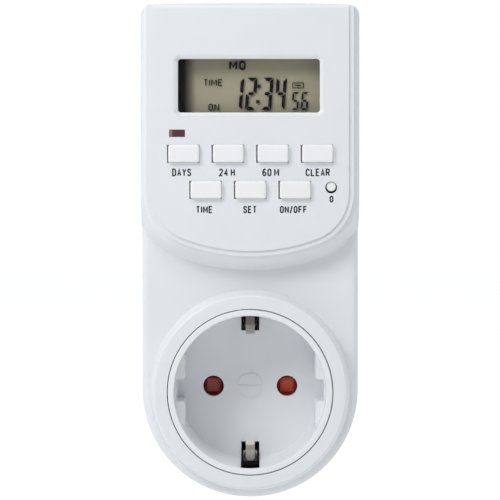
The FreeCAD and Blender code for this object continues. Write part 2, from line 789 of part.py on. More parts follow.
# Rear housing: the back shell with the plug body, the screw bosses and the power board's posts.
def rearHousing():
    body = newBody("rear_housing")
    pad(body, [casingOutline("0", "dim.top_corner")], back_depth, parting_depth)
    roundEdges(body, "dim.back_round", lambda edge: atDepth(edge, value(back_depth)))
    pad(body, [circle("0", "0", "dim.plug_half")], "0", room_deep)
    bevelEdges(body, "dim.plug_chamfer", lambda edge: atDepth(edge, 0))
    pocket(body, [casingOutline("dim.wall", "dim.edge_round")], room_deep, parting_depth)
    pocket(body, [circle("0", "0", "dim.plug_bore")], "dim.plug_face", room_deep)
    flats = []
    for side in ("-", ""):
        for end in ("-", ""):
            x0, x1 = f"{side}dim.plug_flat", f"{side}(dim.plug_half + dim.wall)"
            z0, z1 = f"{end}dim.plug_rib / 2", f"{end}(dim.plug_half - dim.wall)"
            flats.append(corners(x0, z0, x1, z1))
    pocket(body, flats, "0", back_depth)
    grooves = []
    for end in ("-", ""):
        half = "dim.groove_wide / 2"
        grooves.append(corners(f"-{half}", f"{end}dim.groove_floor", half,
                               f"{end}(dim.plug_half + dim.wall)"))
    pocket(body, grooves, "0", back_depth)
    slots = []
    slot_back = f"{plug_earth_cross} - dim.plug_earth_thick / 2"
    for end in ("-", ""):
        half = "dim.plug_earth_wide / 2 + dim.pot_clear"
        slots.append(corners(f"-({half})", f"{end}(dim.plug_bore - dim.wall)", half,
                             f"{end}(dim.groove_floor + dim.plug_earth_thick)"))
    pocket(body, slots, slot_back, f"{slot_back} + dim.plug_earth_thick")
    pocket(body, [circle(x, "0", "dim.pin_seat_half + dim.pin_fit") for x in pins], "0", "dim.plug_face")
    bosses = [circle(x, z, "dim.boss_rear") for x, z in casing_screws]
    pad(body, bosses, room_deep, parting_depth)
    seat = [casingOutline("dim.wall / 2", "dim.edge_round"), casingOutline("dim.wall", "dim.edge_round")]
    pocket(body, seat, f"{parting_depth} - dim.lip_tall - dim.lip_clear", parting_depth)
    posts = [circle(x, z, "dim.power_post") for x, z in power_posts]
    pad(body, posts, room_deep, power_depth)
    drills = [circle(x, z, screw_hole) for x, z in casing_screws]
    pocket(body, drills, back_depth, parting_depth)
    wells = [circle(x, z, "dim.screw_head + dim.pot_clear") for x, z in casing_screws]
    pocket(body, wells, back_depth, well_front)
    small = [circle(x, z, small_hole) for x, z in power_posts]
    pocket(body, small, f"{power_depth} - dim.small_long", power_depth)
    return body


# Socket pot: the recess with its guides, the pin holes, the earth windows and the pivot behind.
def socketPot():
    body = newBody("socket_pot")
    pad(body, [circle("0", "0", pot_half)], skirt_back, mouth_depth)
    pad(body, [circle("0", "0", flange_half)], f"{flange_front} - dim.flange_thick", flange_front)
    narrowing = "-atan(dim.recess_taper / dim.recess_deep)"
    sink(body, [circle("0", "0", recess_mouth)], mouth_depth, "dim.recess_deep", narrowing)
    roundEdges(body, "dim.pot_round", lambda edge: atDepth(edge, value(mouth_depth)))
    pocket(body, [circle("0", "0", pot_inside)], skirt_back, floor_back)
    inside_wall = f"({recess_mouth} + dim.pot_wall / 3)"
    half_chord = f"sqrt({inside_wall}^2 - {guide_face}^2)"
    guide_front = f"({mouth_depth} - dim.guide_down)"
    for side, turn in (("-", "right"), ("", "left")):
        face = f"{side}{guide_face}"
        outline = [
            ("arc", face, half_chord, inside_wall, turn),
            ("line", face, f"-{half_chord}"),
            ("arc", f"{side}{inside_wall}", "0", inside_wall, turn),
        ]
        pad(body, [outline], floor_depth, guide_front)
    notches = []
    for side in ("-", ""):
        half = "dim.guide_notch / 2"
        notches.append(corners(f"{side}({guide_face} - dim.wall)", f"-{half}",
                               f"{side}{recess_floor}", half))
    pocket(body, notches, floor_depth, guide_front)
    roundEdges(body, "dim.guide_round", notchEdge)
    windows, slots = [], []
    for end in ("-", ""):
        half = "dim.earth_slot / 2"
        windows.append(corners(f"-{half}", f"{end}{earth_slot_in}", half, f"{end}{pot_inside}"))
        slots.append(corners(f"-{half}", f"{end}({earth_slot_in} + dim.wall)", half,
                             f"{end}({pot_half} + dim.pot_clear)"))
    pocket(body, windows, floor_back, floor_depth)
    pocket(body, slots, floor_depth, slot_front)
    pocket(body, [circle(x, "0", "dim.hole_half") for x in pins], floor_back, floor_depth)
    pad(body, [circle("0", "0", "dim.pivot_half")], f"{carrier_back} + dim.pivot_short", floor_back)
    ring = [circle("0", "0", "dim.mark_ring"), circle("0", "0", "dim.mark_ring - dim.mark_line")]
    pad(body, ring, floor_depth, f"{floor_depth} + dim.mark_rise")
    bar = rectangle("0", "0", "2 * (dim.mark_ring - dim.mark_line)", "dim.mark_line")
    pad(body, [bar], floor_depth, f"{floor_depth} + dim.mark_rise")
    rim = [circle(x, z, small_hole) for x, z in pot_screw_places]
    pocket(body, rim, f"{flange_front} - dim.flange_thick", flange_front)
    skirt = [circle(x, z, small_hole) for x, z in carrier_screw_places]
    pocket(body, skirt, skirt_back, f"{skirt_back} + dim.small_long")
    return body


def notchEdge(edge):
    """True for the four edges along the depth where a guide's face meets its notch."""
    box = edge.BoundBox
    face, half = value(guide_face), value("dim.guide_notch / 2")
    upright = box.XLength < same_place and box.ZLength < same_place
    return upright and abs(abs(box.XMin) - face) < same_place and abs(abs(box.ZMin) - half) < same_place


# Earth bracket: one strip whose two ends spring into the recess as the earth clips. Behind each tip the
# strip widens, and a lanced tongue with a round end stands out from its bend.
def earthBracket():
    ends = []
    for sign in ("-", ""):
        ends.append([
            (clip_tip_depth, f"{sign}{clip_tip_reach}"),
            (clip_corner_depth, f"{sign}{clip_corner_reach}"),
            (clip_out_depth, f"{sign}{clip_out_reach}"),
            (clip_bend_depth, f"{sign}{earth_reach}"),
            (earth_cross, f"{sign}{earth_reach}"),
        ])
    body = newBody("earth_bracket")
    line = ends[0] + ends[1][::-1]
    path = sketchOn(body, [[("line", f"-({depth})", height) for depth, height in line]], "0",
                    "YZ_Plane", closed=False)
    section = rectangle("0", ends[0][0][1], "dim.earth_wide", clip_section_high)
    profile = sketchOn(body, [section], clip_tip_depth)
    doc.recompute()
    pipe = body.newObject("PartDesign::AdditivePipe", "earth_bracket_bend")
    pipe.Profile = profile
    pipe.Spine = (path, [])
    pipe.Transition = "Right corner"
    trims, tongues = [], []
    for end in ("-", ""):
        for side in ("-", ""):
            neck, edge = f"{side}dim.earth_neck / 2", f"{side}dim.earth_wide"
            inner = f"{end}({clip_tip_reach} - 2 * dim.earth_thick)"
            outer = f"{end}({clip_out_reach} + dim.earth_thick)"
            trims.append([
                ("line", neck, inner),
                ("line", edge, inner),
                ("line", edge, outer),
                ("line", f"{side}dim.earth_wide / 2", outer),
                ("line", f"{side}dim.earth_wide / 2", f"{end}{clip_wide_reach}"),
                ("line", neck, f"{end}{clip_corner_reach}"),
            ])
        tongues.append(corners("-dim.earth_neck / 2", f"{end}{clip_corner_reach}", "dim.earth_neck / 2",
                               f"{end}{tongue_end_reach}"))
    pocket(body, trims, clip_out_depth, f"{clip_tip_depth} + dim.earth_thick")
    middle, half = clip_corner_depth, "dim.earth_thick / 2"
    pad(body, tongues, f"{middle} - {half}", f"{middle} + {half}")
    roundEdges(body, "dim.tongue_end_round", tongueCorner)
    return body


def tongueCorner(edge):
    box, end = edge.BoundBox, value(tongue_end_reach)
    upright = box.XLength < same_place and box.ZLength < same_place
    return upright and abs(abs(box.ZMin) - end) < same_place


# Plug earth strip: a U whose legs lie in the plug body's two side grooves.
def plugEarthStrip():
    leg = "(dim.groove_floor + dim.plug_earth_thick / 2)"
    line = [
        ("dim.plug_earth_set_back", leg),
        (plug_earth_cross, leg),
        (plug_earth_cross, f"-{leg}"),
        ("dim.plug_earth_set_back", f"-{leg}"),
    ]
    return strip("plug_earth_strip", line, "dim.plug_earth_wide", "dim.plug_earth_thick")


# Earth link: a Z strip from the plug's earth strip to the bracket of the socket.
def earthLink():
    low = f"({plug_earth_cross} + dim.plug_earth_thick / 2 + dim.link_thick / 2)"
    high = f"({earth_cross} - dim.earth_thick / 2 - dim.link_thick / 2)"
    line = [
        (low, "dim.link_low"),
        (low, "dim.link_low + dim.link_run"),
        (high, "dim.link_low + dim.link_run"),
        (high, "dim.link_low + 2 * dim.link_run"),
    ]
    body = strip("earth_link", line, "dim.link_wide", "dim.link_thick")
    return body


# Plug pins: a rounded nose, a thicker seat in the plug's face, a flange behind it and a riveted tail.
def plugPin(name, x):
    body = newBody(name)
    pad(body, [circle(x, "0", "dim.pin_half")], "-dim.pin_long", "dim.plug_face")
    roundEdges(body, "dim.pin_nose", lambda edge: atDepth(edge, value("-dim.pin_long")))
    pad(body, [circle(x, "0", "dim.pin_seat_half")], "0", "dim.plug_face")
    flange_top = "(dim.plug_face + dim.pin_flange_thick)"
    pad(body, [circle(x, "0", "dim.pin_flange")], "dim.plug_face", flange_top)
    pad(body, [circle(x, "0", "dim.pin_tail_half")], flange_top, f"{flange_top} + dim.pin_tail_long")
    return body


# Straps: flat brass from each pin's tail to the power board, and from the board to the contact.
strap_foot_depth = "(dim.plug_face + dim.pin_flange_thick + dim.strap_thick / 2)"
tab_touch = f"({tab_back} - dim.strap_thick / 2)"


def pinHole(body, x):
    foot = f"({strap_foot_depth} - dim.strap_thick / 2)"
    hole = circle(x, "0", "dim.pin_tail_half + dim.pin_fit")
    pocket(body, [hole], foot, f"{foot} + dim.strap_thick")


def neutralStrap():
    line = [
        (strap_foot_depth, "-dim.strap_foot"),
        (strap_foot_depth, "dim.strap_climb"),
        (tab_touch, "dim.strap_climb"),
        (tab_touch, high("out_top")),
        (power_depth, high("out_top")),
    ]
    body = strip("neutral_strap", line, "dim.strap_wide", "dim.strap_thick", pins[0])
    pinHole(body, pins[0])
    return body


def liveInStrap():
    run = f"({tab_touch} - dim.strap_clear)"
    line = [
        (strap_foot_depth, "-dim.strap_foot"),
        (strap_foot_depth, "dim.strap_climb"),
        (run, "dim.strap_climb"),
        (run, high("live_in_top")),
        (power_depth, high("live_in_top")),
    ]
    body = strip("live_in_strap", line, "dim.strap_wide", "dim.strap_thick", pins[1])
    pinHole(body, pins[1])
    return body


def liveOutStrap():
    line = [
        (tab_touch, "dim.strap_climb"),
        (tab_touch, high("out_top")),
        (power_depth, high("out_top")),
    ]
    return strip("live_out_strap", line, "dim.strap_wide", "dim.strap_thick", pins[1])


# Socket contacts: a spring fork round each pin hole, with a tab that its strap lies on.
def socketContact(name, x):
    body = newBody(name)
    outer, inner = "(dim.contact_gap / 2 + dim.contact_thick)", "(dim.contact_gap / 2)"
    fork = [
        ("line", f"{x} - {outer}", "-dim.contact_low"),
        ("line", f"{x} - {inner}", "-dim.contact_low"),
        ("line", f"{x} - {inner}", "dim.contact_high"),
        ("line", f"{x} + {inner}", "dim.contact_high"),
        ("line", f"{x} + {inner}", "-dim.contact_low"),
        ("line", f"{x} + {outer}", "-dim.contact_low"),
        ("line", f"{x} + {outer}", "dim.contact_high + dim.contact_thick"),
        ("line", f"{x} - {outer}", "dim.contact_high + dim.contact_thick"),
    ]
    pad(body, [fork], f"{carrier_back} - dim.contact_deep", carrier_back)
    tab = corners(f"{x} - dim.tab_wide / 2", "dim.contact_high", f"{x} + dim.tab_wide / 2", "dim.tab_top")
    pad(body, [tab], tab_back, f"{tab_back} + dim.tab_thick")
    neck_top = "dim.contact_high + dim.contact_thick"
    neck = corners(f"{x} - dim.tab_wide / 2", "dim.contact_high", f"{x} + dim.tab_wide / 2", neck_top)
    pad(body, [neck], tab_back, carrier_back)
    return body


# Contact carrier: the plate that closes the pot's skirt, with a walled cell round each contact.
def contactCarrier():
    body = newBody("contact_carrier")
    pad(body, [circle("0", "0", pot_half)], carrier_back, skirt_back)
    outer = [rectangle(x, "0", "dim.cell_wide", "dim.cell_tall") for x in pins]
    pad(body, outer, f"{carrier_back} - dim.cell_deep", carrier_back)
    inner = [rectangle(x, "0", "dim.cell_wide - 2 * dim.cell_wall", "dim.cell_tall - 2 * dim.cell_wall")
             for x in pins]
    pocket(body, inner, f"{carrier_back} - dim.cell_deep", carrier_back)
    gates = []
    for x in pins:
        half = "dim.tab_wide / 2 + dim.pot_clear"
        gates.append(corners(f"{x} - ({half})", "dim.cell_tall / 2 - 2 * dim.cell_wall", f"{x} + ({half})",
                             "dim.cell_tall / 2 + dim.cell_wall"))
    pocket(body, gates, f"{carrier_back} - dim.cell_deep", carrier_back)
    pocket(body, [circle(x, "0", "dim.shutter_hole") for x in pins], carrier_back, skirt_back)
    pocket(body, [circle("0", "0", "dim.pivot_half + dim.pivot_clear")], carrier_back, skirt_back)
    notches = []
    for end in ("-", ""):
        half = "dim.earth_slot / 2"
        notches.append(corners(f"-{half}", f"{end}({earth_reach} - 2 * dim.earth_thick)", half,
                               f"{end}{pot_inside}"))
    pocket(body, notches, carrier_back, skirt_back)
    pocket(body, [circle(x, z, small_hole) for x, z in carrier_screw_places], carrier_back, skirt_back)
    return body


# Safety shutter: a disc that blocks the pin holes at rest and turns its openings to them.
def safetyShutter():
    body = newBody("safety_shutter")
    pad(body, [circle("0", "0", "dim.shutter_half")], shutter_back, shutter_front)
    pocket(body, [circle("0", "0", "dim.pivot_half + dim.pivot_clear")], shutter_back, shutter_front)
    holes = []
    for side in ("-", ""):
        x = f"{side}dim.pin_spread * cos(dim.shutter_turn)"
        z = f"{side}dim.pin_spread * sin(dim.shutter_turn)"
        holes.append(circle(x, z, "dim.shutter_hole"))
    pocket(body, holes, shutter_back, shutter_front)
    ramps = []
    for side in ("-", ""):
        x = f"{side}dim.pin_spread"
        ramps.append(rectangle(x, "0", "2 * dim.hole_half", "2 * dim.hole_half"))
    sink(body, ramps, shutter_front, "dim.shutter_thick / 2", "-45")
    return body


# Shutter spring: a small coil round the pivot, whose wire runs on straight into two legs.
def shutterSpring():
    pitch, turns = value("dim.spring_pitch"), value("dim.spring_turns")
    leg, wire_half = value("dim.spring_leg"), value("dim.spring_wire / 2")
    coil = Part.makeHelix(pitch, pitch * turns, value("dim.spring_coil")).Edges[0]
    begin, finish = coil.firstVertex().Point, coil.lastVertex().Point
    before, after = coil.tangentAt(coil.FirstParameter), coil.tangentAt(coil.LastParameter)
    tip = begin - before * leg
    first = Part.LineSegment(tip, begin).toShape()
    last = Part.LineSegment(finish, finish + after * leg).toShape()
    section = Part.Wire(Part.Circle(tip, before, wire_half).toShape())
    spring = doc.addObject("Part::Feature", "shutter_spring")
    spring.Shape = Part.Wire([first, coil, last]).makePipeShell([section], True, True)
    spring.Placement = Placement(Vector(), Rotation(Vector(1, 0, 0), 90))
    middle = f"(({shutter_back} + {skirt_back}) / 2)"
    spring.setExpression("Placement.Base.y", f"-({middle} - dim.spring_pitch * dim.spring_turns / 2)")
    return spring


# Display window: a clear pane behind the bevelled opening, with a step that fills it.
def displayWindow():
    body = newBody("display_window")
    rim = rectangle("dim.window_mid", "dim.window_height", f"{window_wide} + 2 * dim.pane_rim",
                    "dim.window_tall + 2 * dim.pane_rim")
    pad(body, [rim], pane_back, head_inside)
    plug = softRectangle("dim.window_mid", "dim.window_height", f"{window_wide} - 2 * dim.pane_clear",
                         "dim.window_tall - 2 * dim.pane_clear", "(dim.window_corner - dim.pane_clear)")
    pad(body, [plug], head_inside, f"{head_inside} + dim.pane_plug_thick")
    return body


def glassOutline(grow):
    return rectangle("dim.window_mid", "dim.window_height", f"{glass_wide} + 2 * ({grow})",
                     f"dim.glass_tall + 2 * ({grow})")


# LCD panel: the glass sandwich, with a smaller front plate that leaves the contact ledge bare.
def lcdPanel():
    body = newBody("lcd_panel")
    pad(body, [glassOutline("0")], glass_back, f"{glass_back} + dim.glass_thick / 2")
    pad(body, [glassOutline("-dim.glass_gap")], f"{glass_back} + dim.glass_thick / 2", glass_front)
    return body


# LCD frame: the moulded holder that stands on the control board round the glass.
def lcdFrame():
    body = newBody("lcd_frame")
    pad(body, [glassOutline("dim.frame_rim")], board_front, f"{glass_front} - dim.glass_gap")
    pocket(body, [glassOutline("dim.pane_clear")], glass_back, glass_front)
    pocket(body, [glassOutline("-dim.frame_shelf + dim.pane_clear")], board_front, glass_back)
    return body


# LCD connector: the striped rubber bar that joins the glass to the board along its lower edge.
def lcdConnector():
    low = "dim.window_height - dim.glass_tall / 2 + dim.frame_shelf"
    middle = f"{low} + dim.strip_rubber_tall / 2"
    bar = block("lcd_connector", "dim.window_mid", middle, strip_rubber_wide,
                "dim.strip_rubber_tall", board_front, glass_back)
    return bar


# LED and its red window.
def ledWindow():
    body = newBody("led_lens")
    clear = "2 * dim.pane_clear"
    front = rectangle(led_x, high("led_z"), f"dim.led_wide - {clear}", f"dim.led_tall - {clear}")
    rim = rectangle(led_x, high("led_z"), "dim.led_wide + 2 * dim.led_rim",
                    "dim.led_tall + 2 * dim.led_rim")
    pad(body, [rim], f"{head_inside} - dim.led_rim_thick", head_inside)
    pad(body, [front], head_inside, f"{head_depth} - dim.led_sunk")
    return body


def led():
    body = newBody("led")
    led_front = f"({head_inside} - dim.led_rim_thick - dim.glass_gap)"
    collar_front = f"({board_front} + dim.led_rim_thick)"
    pad(body, [circle(led_x, high("led_z"), "dim.led_half + dim.led_sunk")], board_front, collar_front)
    pad(body, [circle(led_x, high("led_z"), "dim.led_half")], collar_front, led_front)
    roundEdges(body, "dim.led_half - dim.led_sunk", lambda edge: atDepth(edge, value(led_front)))
    return body


# Keys: a cap with soft edges, a rim behind the panel that keeps it in, and a stem over its dome.
def keyCap(name, x, z):
    body = newBody(name)
    clear = "2 * dim.key_clear"
    cap = rectangle(f"{x} + dim.key_shift", z, f"dim.key_hole_wide - {clear}",
                    f"dim.key_hole_tall - {clear}")
    rim = rectangle(x, z, "dim.key_hole_wide + 2 * dim.key_rim_x", "dim.key_hole_tall + 2 * dim.key_rim_z")
    cap_front = f"({head_depth} + dim.key_proud)"
    pad(body, [rim], key_rim_back, key_rim_front)
    pad(body, [cap], key_rim_front, cap_front)
    roundEdges(body, "dim.key_round", lambda edge: capEdge(edge, value(cap_front), value(key_rim_front)))
    pad(body, [circle(x, z, "dim.key_stem")], stem_back, key_rim_back)
    return body


def capEdge(edge, front, foot):
    """True for the edges round the cap's front face and up its four corners."""
    box = edge.BoundBox
    corner = abs(box.YMin + front) < same_place and abs(box.YMax + foot) < same_place
    return atDepth(edge, front) or corner


# Reset key: a thin pin below the face of the panel, pressed with a pen.
def resetKey():
    body = newBody("reset_key")
    z = f"{high('reset_z')} + dim.reset_lift"
    pin_front = f"({head_depth} - dim.reset_sunk)"
    pad(body, [circle(reset_x, z, "dim.reset_rim")], key_rim_back, key_rim_front)
    pad(body, [circle(reset_x, z, "dim.reset_half")], key_rim_front, pin_front)
    roundEdges(body, "dim.pot_round", lambda edge: atDepth(edge, value(pin_front)))
    pad(body, [circle(reset_x, z, "dim.key_stem")], stem_back, key_rim_back)
    return body


# Key mat: a rubber sheet on the board with a dome under every key.
def keyMat():
    body = newBody("key_mat")
    left, right = f"-({board_half} - dim.mat_left_in)", f"({board_half} - dim.mat_right_in)"
    sheet = corners(left, high("mat_low"), right, high("mat_high"))
    pad(body, [sheet], board_front, mat_front)
    domes = [circle(x, z, "dim.dome_half") for x, z in keys.values()]
    domes.append(circle(reset_x, high("reset_z"), "dim.dome_half"))
    pad(body, domes, mat_front, dome_front, "-atan((dim.dome_half - dim.dome_top) / dim.dome_rise)")
    room = [circle(x, z, "dim.front_post + dim.pot_clear") for x, z in front_posts[:2]]
    pocket(body, room, board_front, mat_front)
    return body


# Control board, behind the display and the keys.
def controlBoard():
    body = newBody("control_board")
    half, corner, low = board_half, "dim.board_corner", high("board_low")
    outline = [
        ("line", f"-{half}", high("board_high")),
        ("line", f"-{half}", f"{low} + {corner}"),
        ("arc", f"-({half} - {corner})", low, corner, "left"),
        ("line", f"{half} - {corner}", low),
        ("arc", half, f"{low} + {corner}", corner, "left"),
        ("line", half, high("board_high")),
    ]
    pad(body, [outline], board_back, board_front)
    pocket(body, [circle(x, z, small_hole) for x, z in front_posts], board_back, board_front)
    return body


def controllerChip():
    chip = block("controller_chip_block", "0", high("key_row_high"), "dim.chip_side", "dim.chip_side",
                 f"{board_back} - dim.chip_thick", board_back)
    chip.Label = "controller_chip"
    return chip


def crystal():
    return lyingBar("crystal", "dim.chip_side", high("key_row_low"),
                    f"{board_back} - dim.crystal_half", "dim.crystal_half", "dim.crystal_long")


# Power board, on the rear housing's posts, and what stands on its front face.
def powerBoard():
    body = newBody("power_board")
    outline = corners(f"-{power_half}", high("power_low"), power_half, high("power_high"))
    pad(body, [outline], power_depth, power_front)
    pocket(body, [circle(x, z, small_hole) for x, z in power_posts], power_depth, power_front)
    return body


def relay():
    case = block("relay_case", "dim.relay_x", high("relay_z"), "dim.relay_wide", "dim.relay_tall",
                 power_front, f"{power_front} + dim.relay_high")
    return relabel(rounded("relay_shell", case, "dim.key_round"), "relay")


def filmCapacitor():
    case = block("film_case", "dim.film_x", high("film_z"), "dim.film_wide", "dim.film_tall",
                 power_front, f"{power_front} + dim.film_high")
    return relabel(rounded("film_shell", case, "dim.key_round"), "film_capacitor")


def relabel(item, name):
    item.Label = name
    return item


def electrolyticCapacitors():
    cans = []
    for place in range(2):
        x = f"dim.can_x + {place} * dim.can_pitch"
        can = cylinder("can", x, high("can_z"), "dim.can_half", power_front, f"{power_front} + dim.can_high")
        cans.append(rounded("rounded_can", can, "dim.pot_round"))
    return relabel(group("cans", cans), "electrolytic_capacitors")


def varistor():
    disc = doc.addObject("Part::Cylinder", "varistor")
    disc.Placement = Placement(Vector(), Rotation(Vector(0, 0, 1), 0))
    disc.setExpression("Radius", "dim.varistor_half")
    disc.setExpression("Height", "dim.varistor_thick")
    disc.setExpression("Placement.Base.x", "dim.varistor_x")
    disc.setExpression("Placement.Base.y", f"-({power_front} + dim.varistor_half)")
    disc.setExpression("Placement.Base.z", f"{high('varistor_z')} - dim.varistor_thick / 2")
    return disc


def thermalFuse():
    return lyingBar("fuse", "dim.fuse_x", high("fuse_z"), f"{power_front} + dim.fuse_half", "dim.fuse_half",
                    "dim.fuse_long")


def backupBattery():
    cell = cylinder("battery_can", "dim.cell_x", high("cell_z"), "dim.cell_half", power_front,
                    f"{power_front} + dim.cell_high")
    return relabel(rounded("battery_shell", cell, "dim.key_round"), "backup_battery")


def rectifierDiodes():
    bars = []
    for place in range(4):
        across, up = place % 2, place // 2
        bars.append(lyingBar("diode", f"dim.diode_x + {across} * (dim.diode_long + dim.wall)",
                             f"{high('diode_z')} + {up} * dim.diode_pitch", f"{power_front} + dim.diode_half",
                             "dim.diode_half", "dim.diode_long"))
    return relabel(group("diodes", bars), "rectifier_diodes")


def resistors():
    bars = []
    for place in range(2):
        x = f"dim.resistor_x - {place} * (dim.resistor_long + dim.wall)"
        z = f"{high('diode_z')} + 2 * dim.diode_pitch + dim.resistor_half / 2"
        bars.append(lyingBar("resistor", x, z, f"{power_front} + dim.resistor_half", "dim.resistor_half",
                             "dim.resistor_long"))
    return relabel(group("resistor_bars", bars), "resistors")


def driverTransistor():
    body = newBody("driver_transistor")
    x, z, radius, flat = "dim.driver_x", high("driver_z"), "dim.driver_half", "dim.driver_flat"
    chord = f"sqrt({radius}^2 - {flat}^2)"
    outline = [
        ("line", f"{x} - {chord}", f"{z} - {flat}"),
        ("line", f"{x} + {chord}", f"{z} - {flat}"),
        ("arc", x, f"{z} + {radius}", radius, "left"),
    ]
    outline[0] = ("arc", f"{x} - {chord}", f"{z} - {flat}", radius, "left")
    pad(body, [outline], power_front, f"{power_front} + dim.driver_high")
    return body


# Board header: a row of pins in a bar, from the power board to the control board.
def boardHeader():
    base = block("header_bar", "0", high("header_z"), "dim.header_pins * dim.header_pitch", "dim.header_base",
                 power_front, f"{power_front} + dim.header_base")
    pieces = [base]
    for place in range(sizes["header_pins"]):
        x = f"({place} - (dim.header_pins - 1) / 2) * dim.header_pitch"
        pieces.append(block("header_post", x, high("header_z"), "dim.header_pin", "dim.header_pin",
                            power_front, board_back))
    return relabel(fuse("header_pieces", pieces), "board_header")


# Screws: a round head with a cross slot, and a plain shank.
def screws(name, places, head_back, head, head_thick, shank, long):
    """Screws driven from behind: the head starts at head_back, the shank runs on forwards."""
    pieces = []
    for x, z in places:
        seat = f"({head_back} + {head_thick})"
        crown = cylinder(name + "_head", x, z, head, head_back, seat)
        stem = cylinder(name + "_shank", x, z, shank, seat, f"{seat} + {long}")
        solid = fuse(name + "_screw", [crown, stem])
        slot_front = f"({head_back} + dim.drive_deep)"
        reach = f"dim.drive_reach * {head}"
        across = block(name + "_slot", x, z, reach, "dim.drive_wide", head_back, slot_front)
        along = block(name + "_slot", x, z, "dim.drive_wide", reach, head_back, slot_front)
        pieces.append(cut(name + "_slotted", solid, fuse(name + "_cross", [across, along])))
    return relabel(group(name + "_set", pieces), name)


def drivenBack(name, places, seat, shank_tip):
    """Screws driven from the front: the head lies in front of the seat, the shank runs back."""
    pieces = []
    for x, z in places:
        head_front = f"({seat} + dim.small_head_thick)"
        crown = cylinder(name + "_head", x, z, "dim.small_head", seat, head_front)
        stem = cylinder(name + "_shank", x, z, "dim.small_screw", shank_tip, seat)
        solid = fuse(name + "_screw", [crown, stem])
        slot_back = f"({head_front} - dim.drive_deep)"
        reach = "dim.drive_reach * dim.small_head"
        across = block(name + "_slot", x, z, reach, "dim.drive_wide", slot_back, head_front)
        along = block(name + "_slot", x, z, "dim.drive_wide", reach, slot_back, head_front)
        pieces.append(cut(name + "_slotted", solid, fuse(name + "_cross", [across, along])))
    return relabel(group(name + "_set", pieces), name)


parts = [frontHousing(), rearHousing(), socketPot(), contactCarrier(), safetyShutter(), shutterSpring()]
parts += [earthBracket(), plugEarthStrip(), earthLink()]
parts += [plugPin("neutral_pin", pins[0]), plugPin("live_pin", pins[1])]
parts += [socketContact("neutral_contact", pins[0]), socketContact("live_contact", pins[1])]
parts += [neutralStrap(), liveInStrap(), liveOutStrap()]
parts += [displayWindow(), lcdPanel(), lcdFrame(), lcdConnector(), ledWindow(), led()]
parts += [keyCap(name, x, z) for name, (x, z) in keys.items()]
parts += [resetKey(), keyMat(), controlBoard(), controllerChip(), crystal()]
parts += [powerBoard(), relay(), filmCapacitor(), electrolyticCapacitors(), varistor(), thermalFuse()]
parts += [backupBattery(), rectifierDiodes(), resistors(), driverTransistor(), boardHeader()]
parts.append(screws("housing_screws", casing_screws,
                    f"({well_front} - dim.screw_head_thick)",
                    "dim.screw_head", "dim.screw_head_thick", "dim.screw_half", "dim.screw_long"))
parts.append(screws("pot_screws", pot_screw_places,
                    f"({flange_front} - dim.flange_thick - dim.small_head_thick)",
                    "dim.small_head", "dim.small_head_thick", "dim.small_screw", "dim.small_long"))
parts.append(screws("carrier_screws", carrier_screw_places, f"({carrier_back} - dim.small_head_thick)",
                    "dim.small_head", "dim.small_head_thick", "dim.small_screw", "dim.small_long"))
parts.append(screws("control_board_screws", front_posts, f"({board_back} - dim.small_head_thick)",
                    "dim.small_head", "dim.small_head_thick", "dim.small_screw", "dim.small_long"))
parts.append(drivenBack("power_board_screws", power_posts, power_front,
                        f"{power_front} - dim.small_long"))
doc.recompute()

broken = [item.Name for item in doc.Objects if "Invalid" in item.State or "Error" in item.State]
broken += [part.Label for part in parts if part.Shape.isNull() or not part.Shape.isValid()]
if broken:
    raise RuntimeError("failed features: " + ", ".join(broken))
os.makedirs("parts", exist_ok=True)
for part in parts:
    part.Shape.exportStep(f"parts/{part.Label}.step")
    print(part.Label, len(part.Shape.Solids), round(part.Shape.Volume, 2))
print(len(parts), "sub-parts")
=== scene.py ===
import json
import math

import bmesh
import bpy
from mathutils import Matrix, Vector

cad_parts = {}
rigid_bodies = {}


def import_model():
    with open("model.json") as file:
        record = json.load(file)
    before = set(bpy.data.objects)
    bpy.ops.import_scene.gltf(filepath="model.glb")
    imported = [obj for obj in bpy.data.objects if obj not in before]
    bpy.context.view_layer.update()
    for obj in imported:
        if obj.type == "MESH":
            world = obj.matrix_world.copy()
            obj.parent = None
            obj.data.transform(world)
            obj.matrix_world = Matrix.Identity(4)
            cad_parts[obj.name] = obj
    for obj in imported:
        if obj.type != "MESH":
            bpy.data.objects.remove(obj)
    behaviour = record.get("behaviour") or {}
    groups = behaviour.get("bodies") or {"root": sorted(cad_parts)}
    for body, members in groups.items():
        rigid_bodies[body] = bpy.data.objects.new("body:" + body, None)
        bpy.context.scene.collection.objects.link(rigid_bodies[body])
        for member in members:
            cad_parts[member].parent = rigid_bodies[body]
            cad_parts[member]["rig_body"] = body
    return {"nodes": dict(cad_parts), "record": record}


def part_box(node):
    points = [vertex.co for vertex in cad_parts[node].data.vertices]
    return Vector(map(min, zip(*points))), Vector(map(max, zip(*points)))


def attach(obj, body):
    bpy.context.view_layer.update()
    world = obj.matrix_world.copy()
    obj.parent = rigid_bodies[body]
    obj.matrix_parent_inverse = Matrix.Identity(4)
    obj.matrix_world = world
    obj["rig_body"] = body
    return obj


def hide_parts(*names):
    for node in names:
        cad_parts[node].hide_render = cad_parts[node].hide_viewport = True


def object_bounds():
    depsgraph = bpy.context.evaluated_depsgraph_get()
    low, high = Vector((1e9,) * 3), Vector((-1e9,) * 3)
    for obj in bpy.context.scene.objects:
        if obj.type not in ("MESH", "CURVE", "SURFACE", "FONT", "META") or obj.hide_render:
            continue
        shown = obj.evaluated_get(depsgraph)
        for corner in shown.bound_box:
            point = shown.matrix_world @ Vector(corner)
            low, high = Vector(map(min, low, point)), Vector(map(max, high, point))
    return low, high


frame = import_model()
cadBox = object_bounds()
nodes = frame["nodes"]
slotOf = {row["node"]: row["material_slot"] for row in frame["record"]["subparts"]}
scene = bpy.context.scene
print("timer socket: frame loaded,", len(nodes), "nodes")


# Node trees: sums, ranges, colours and noise.

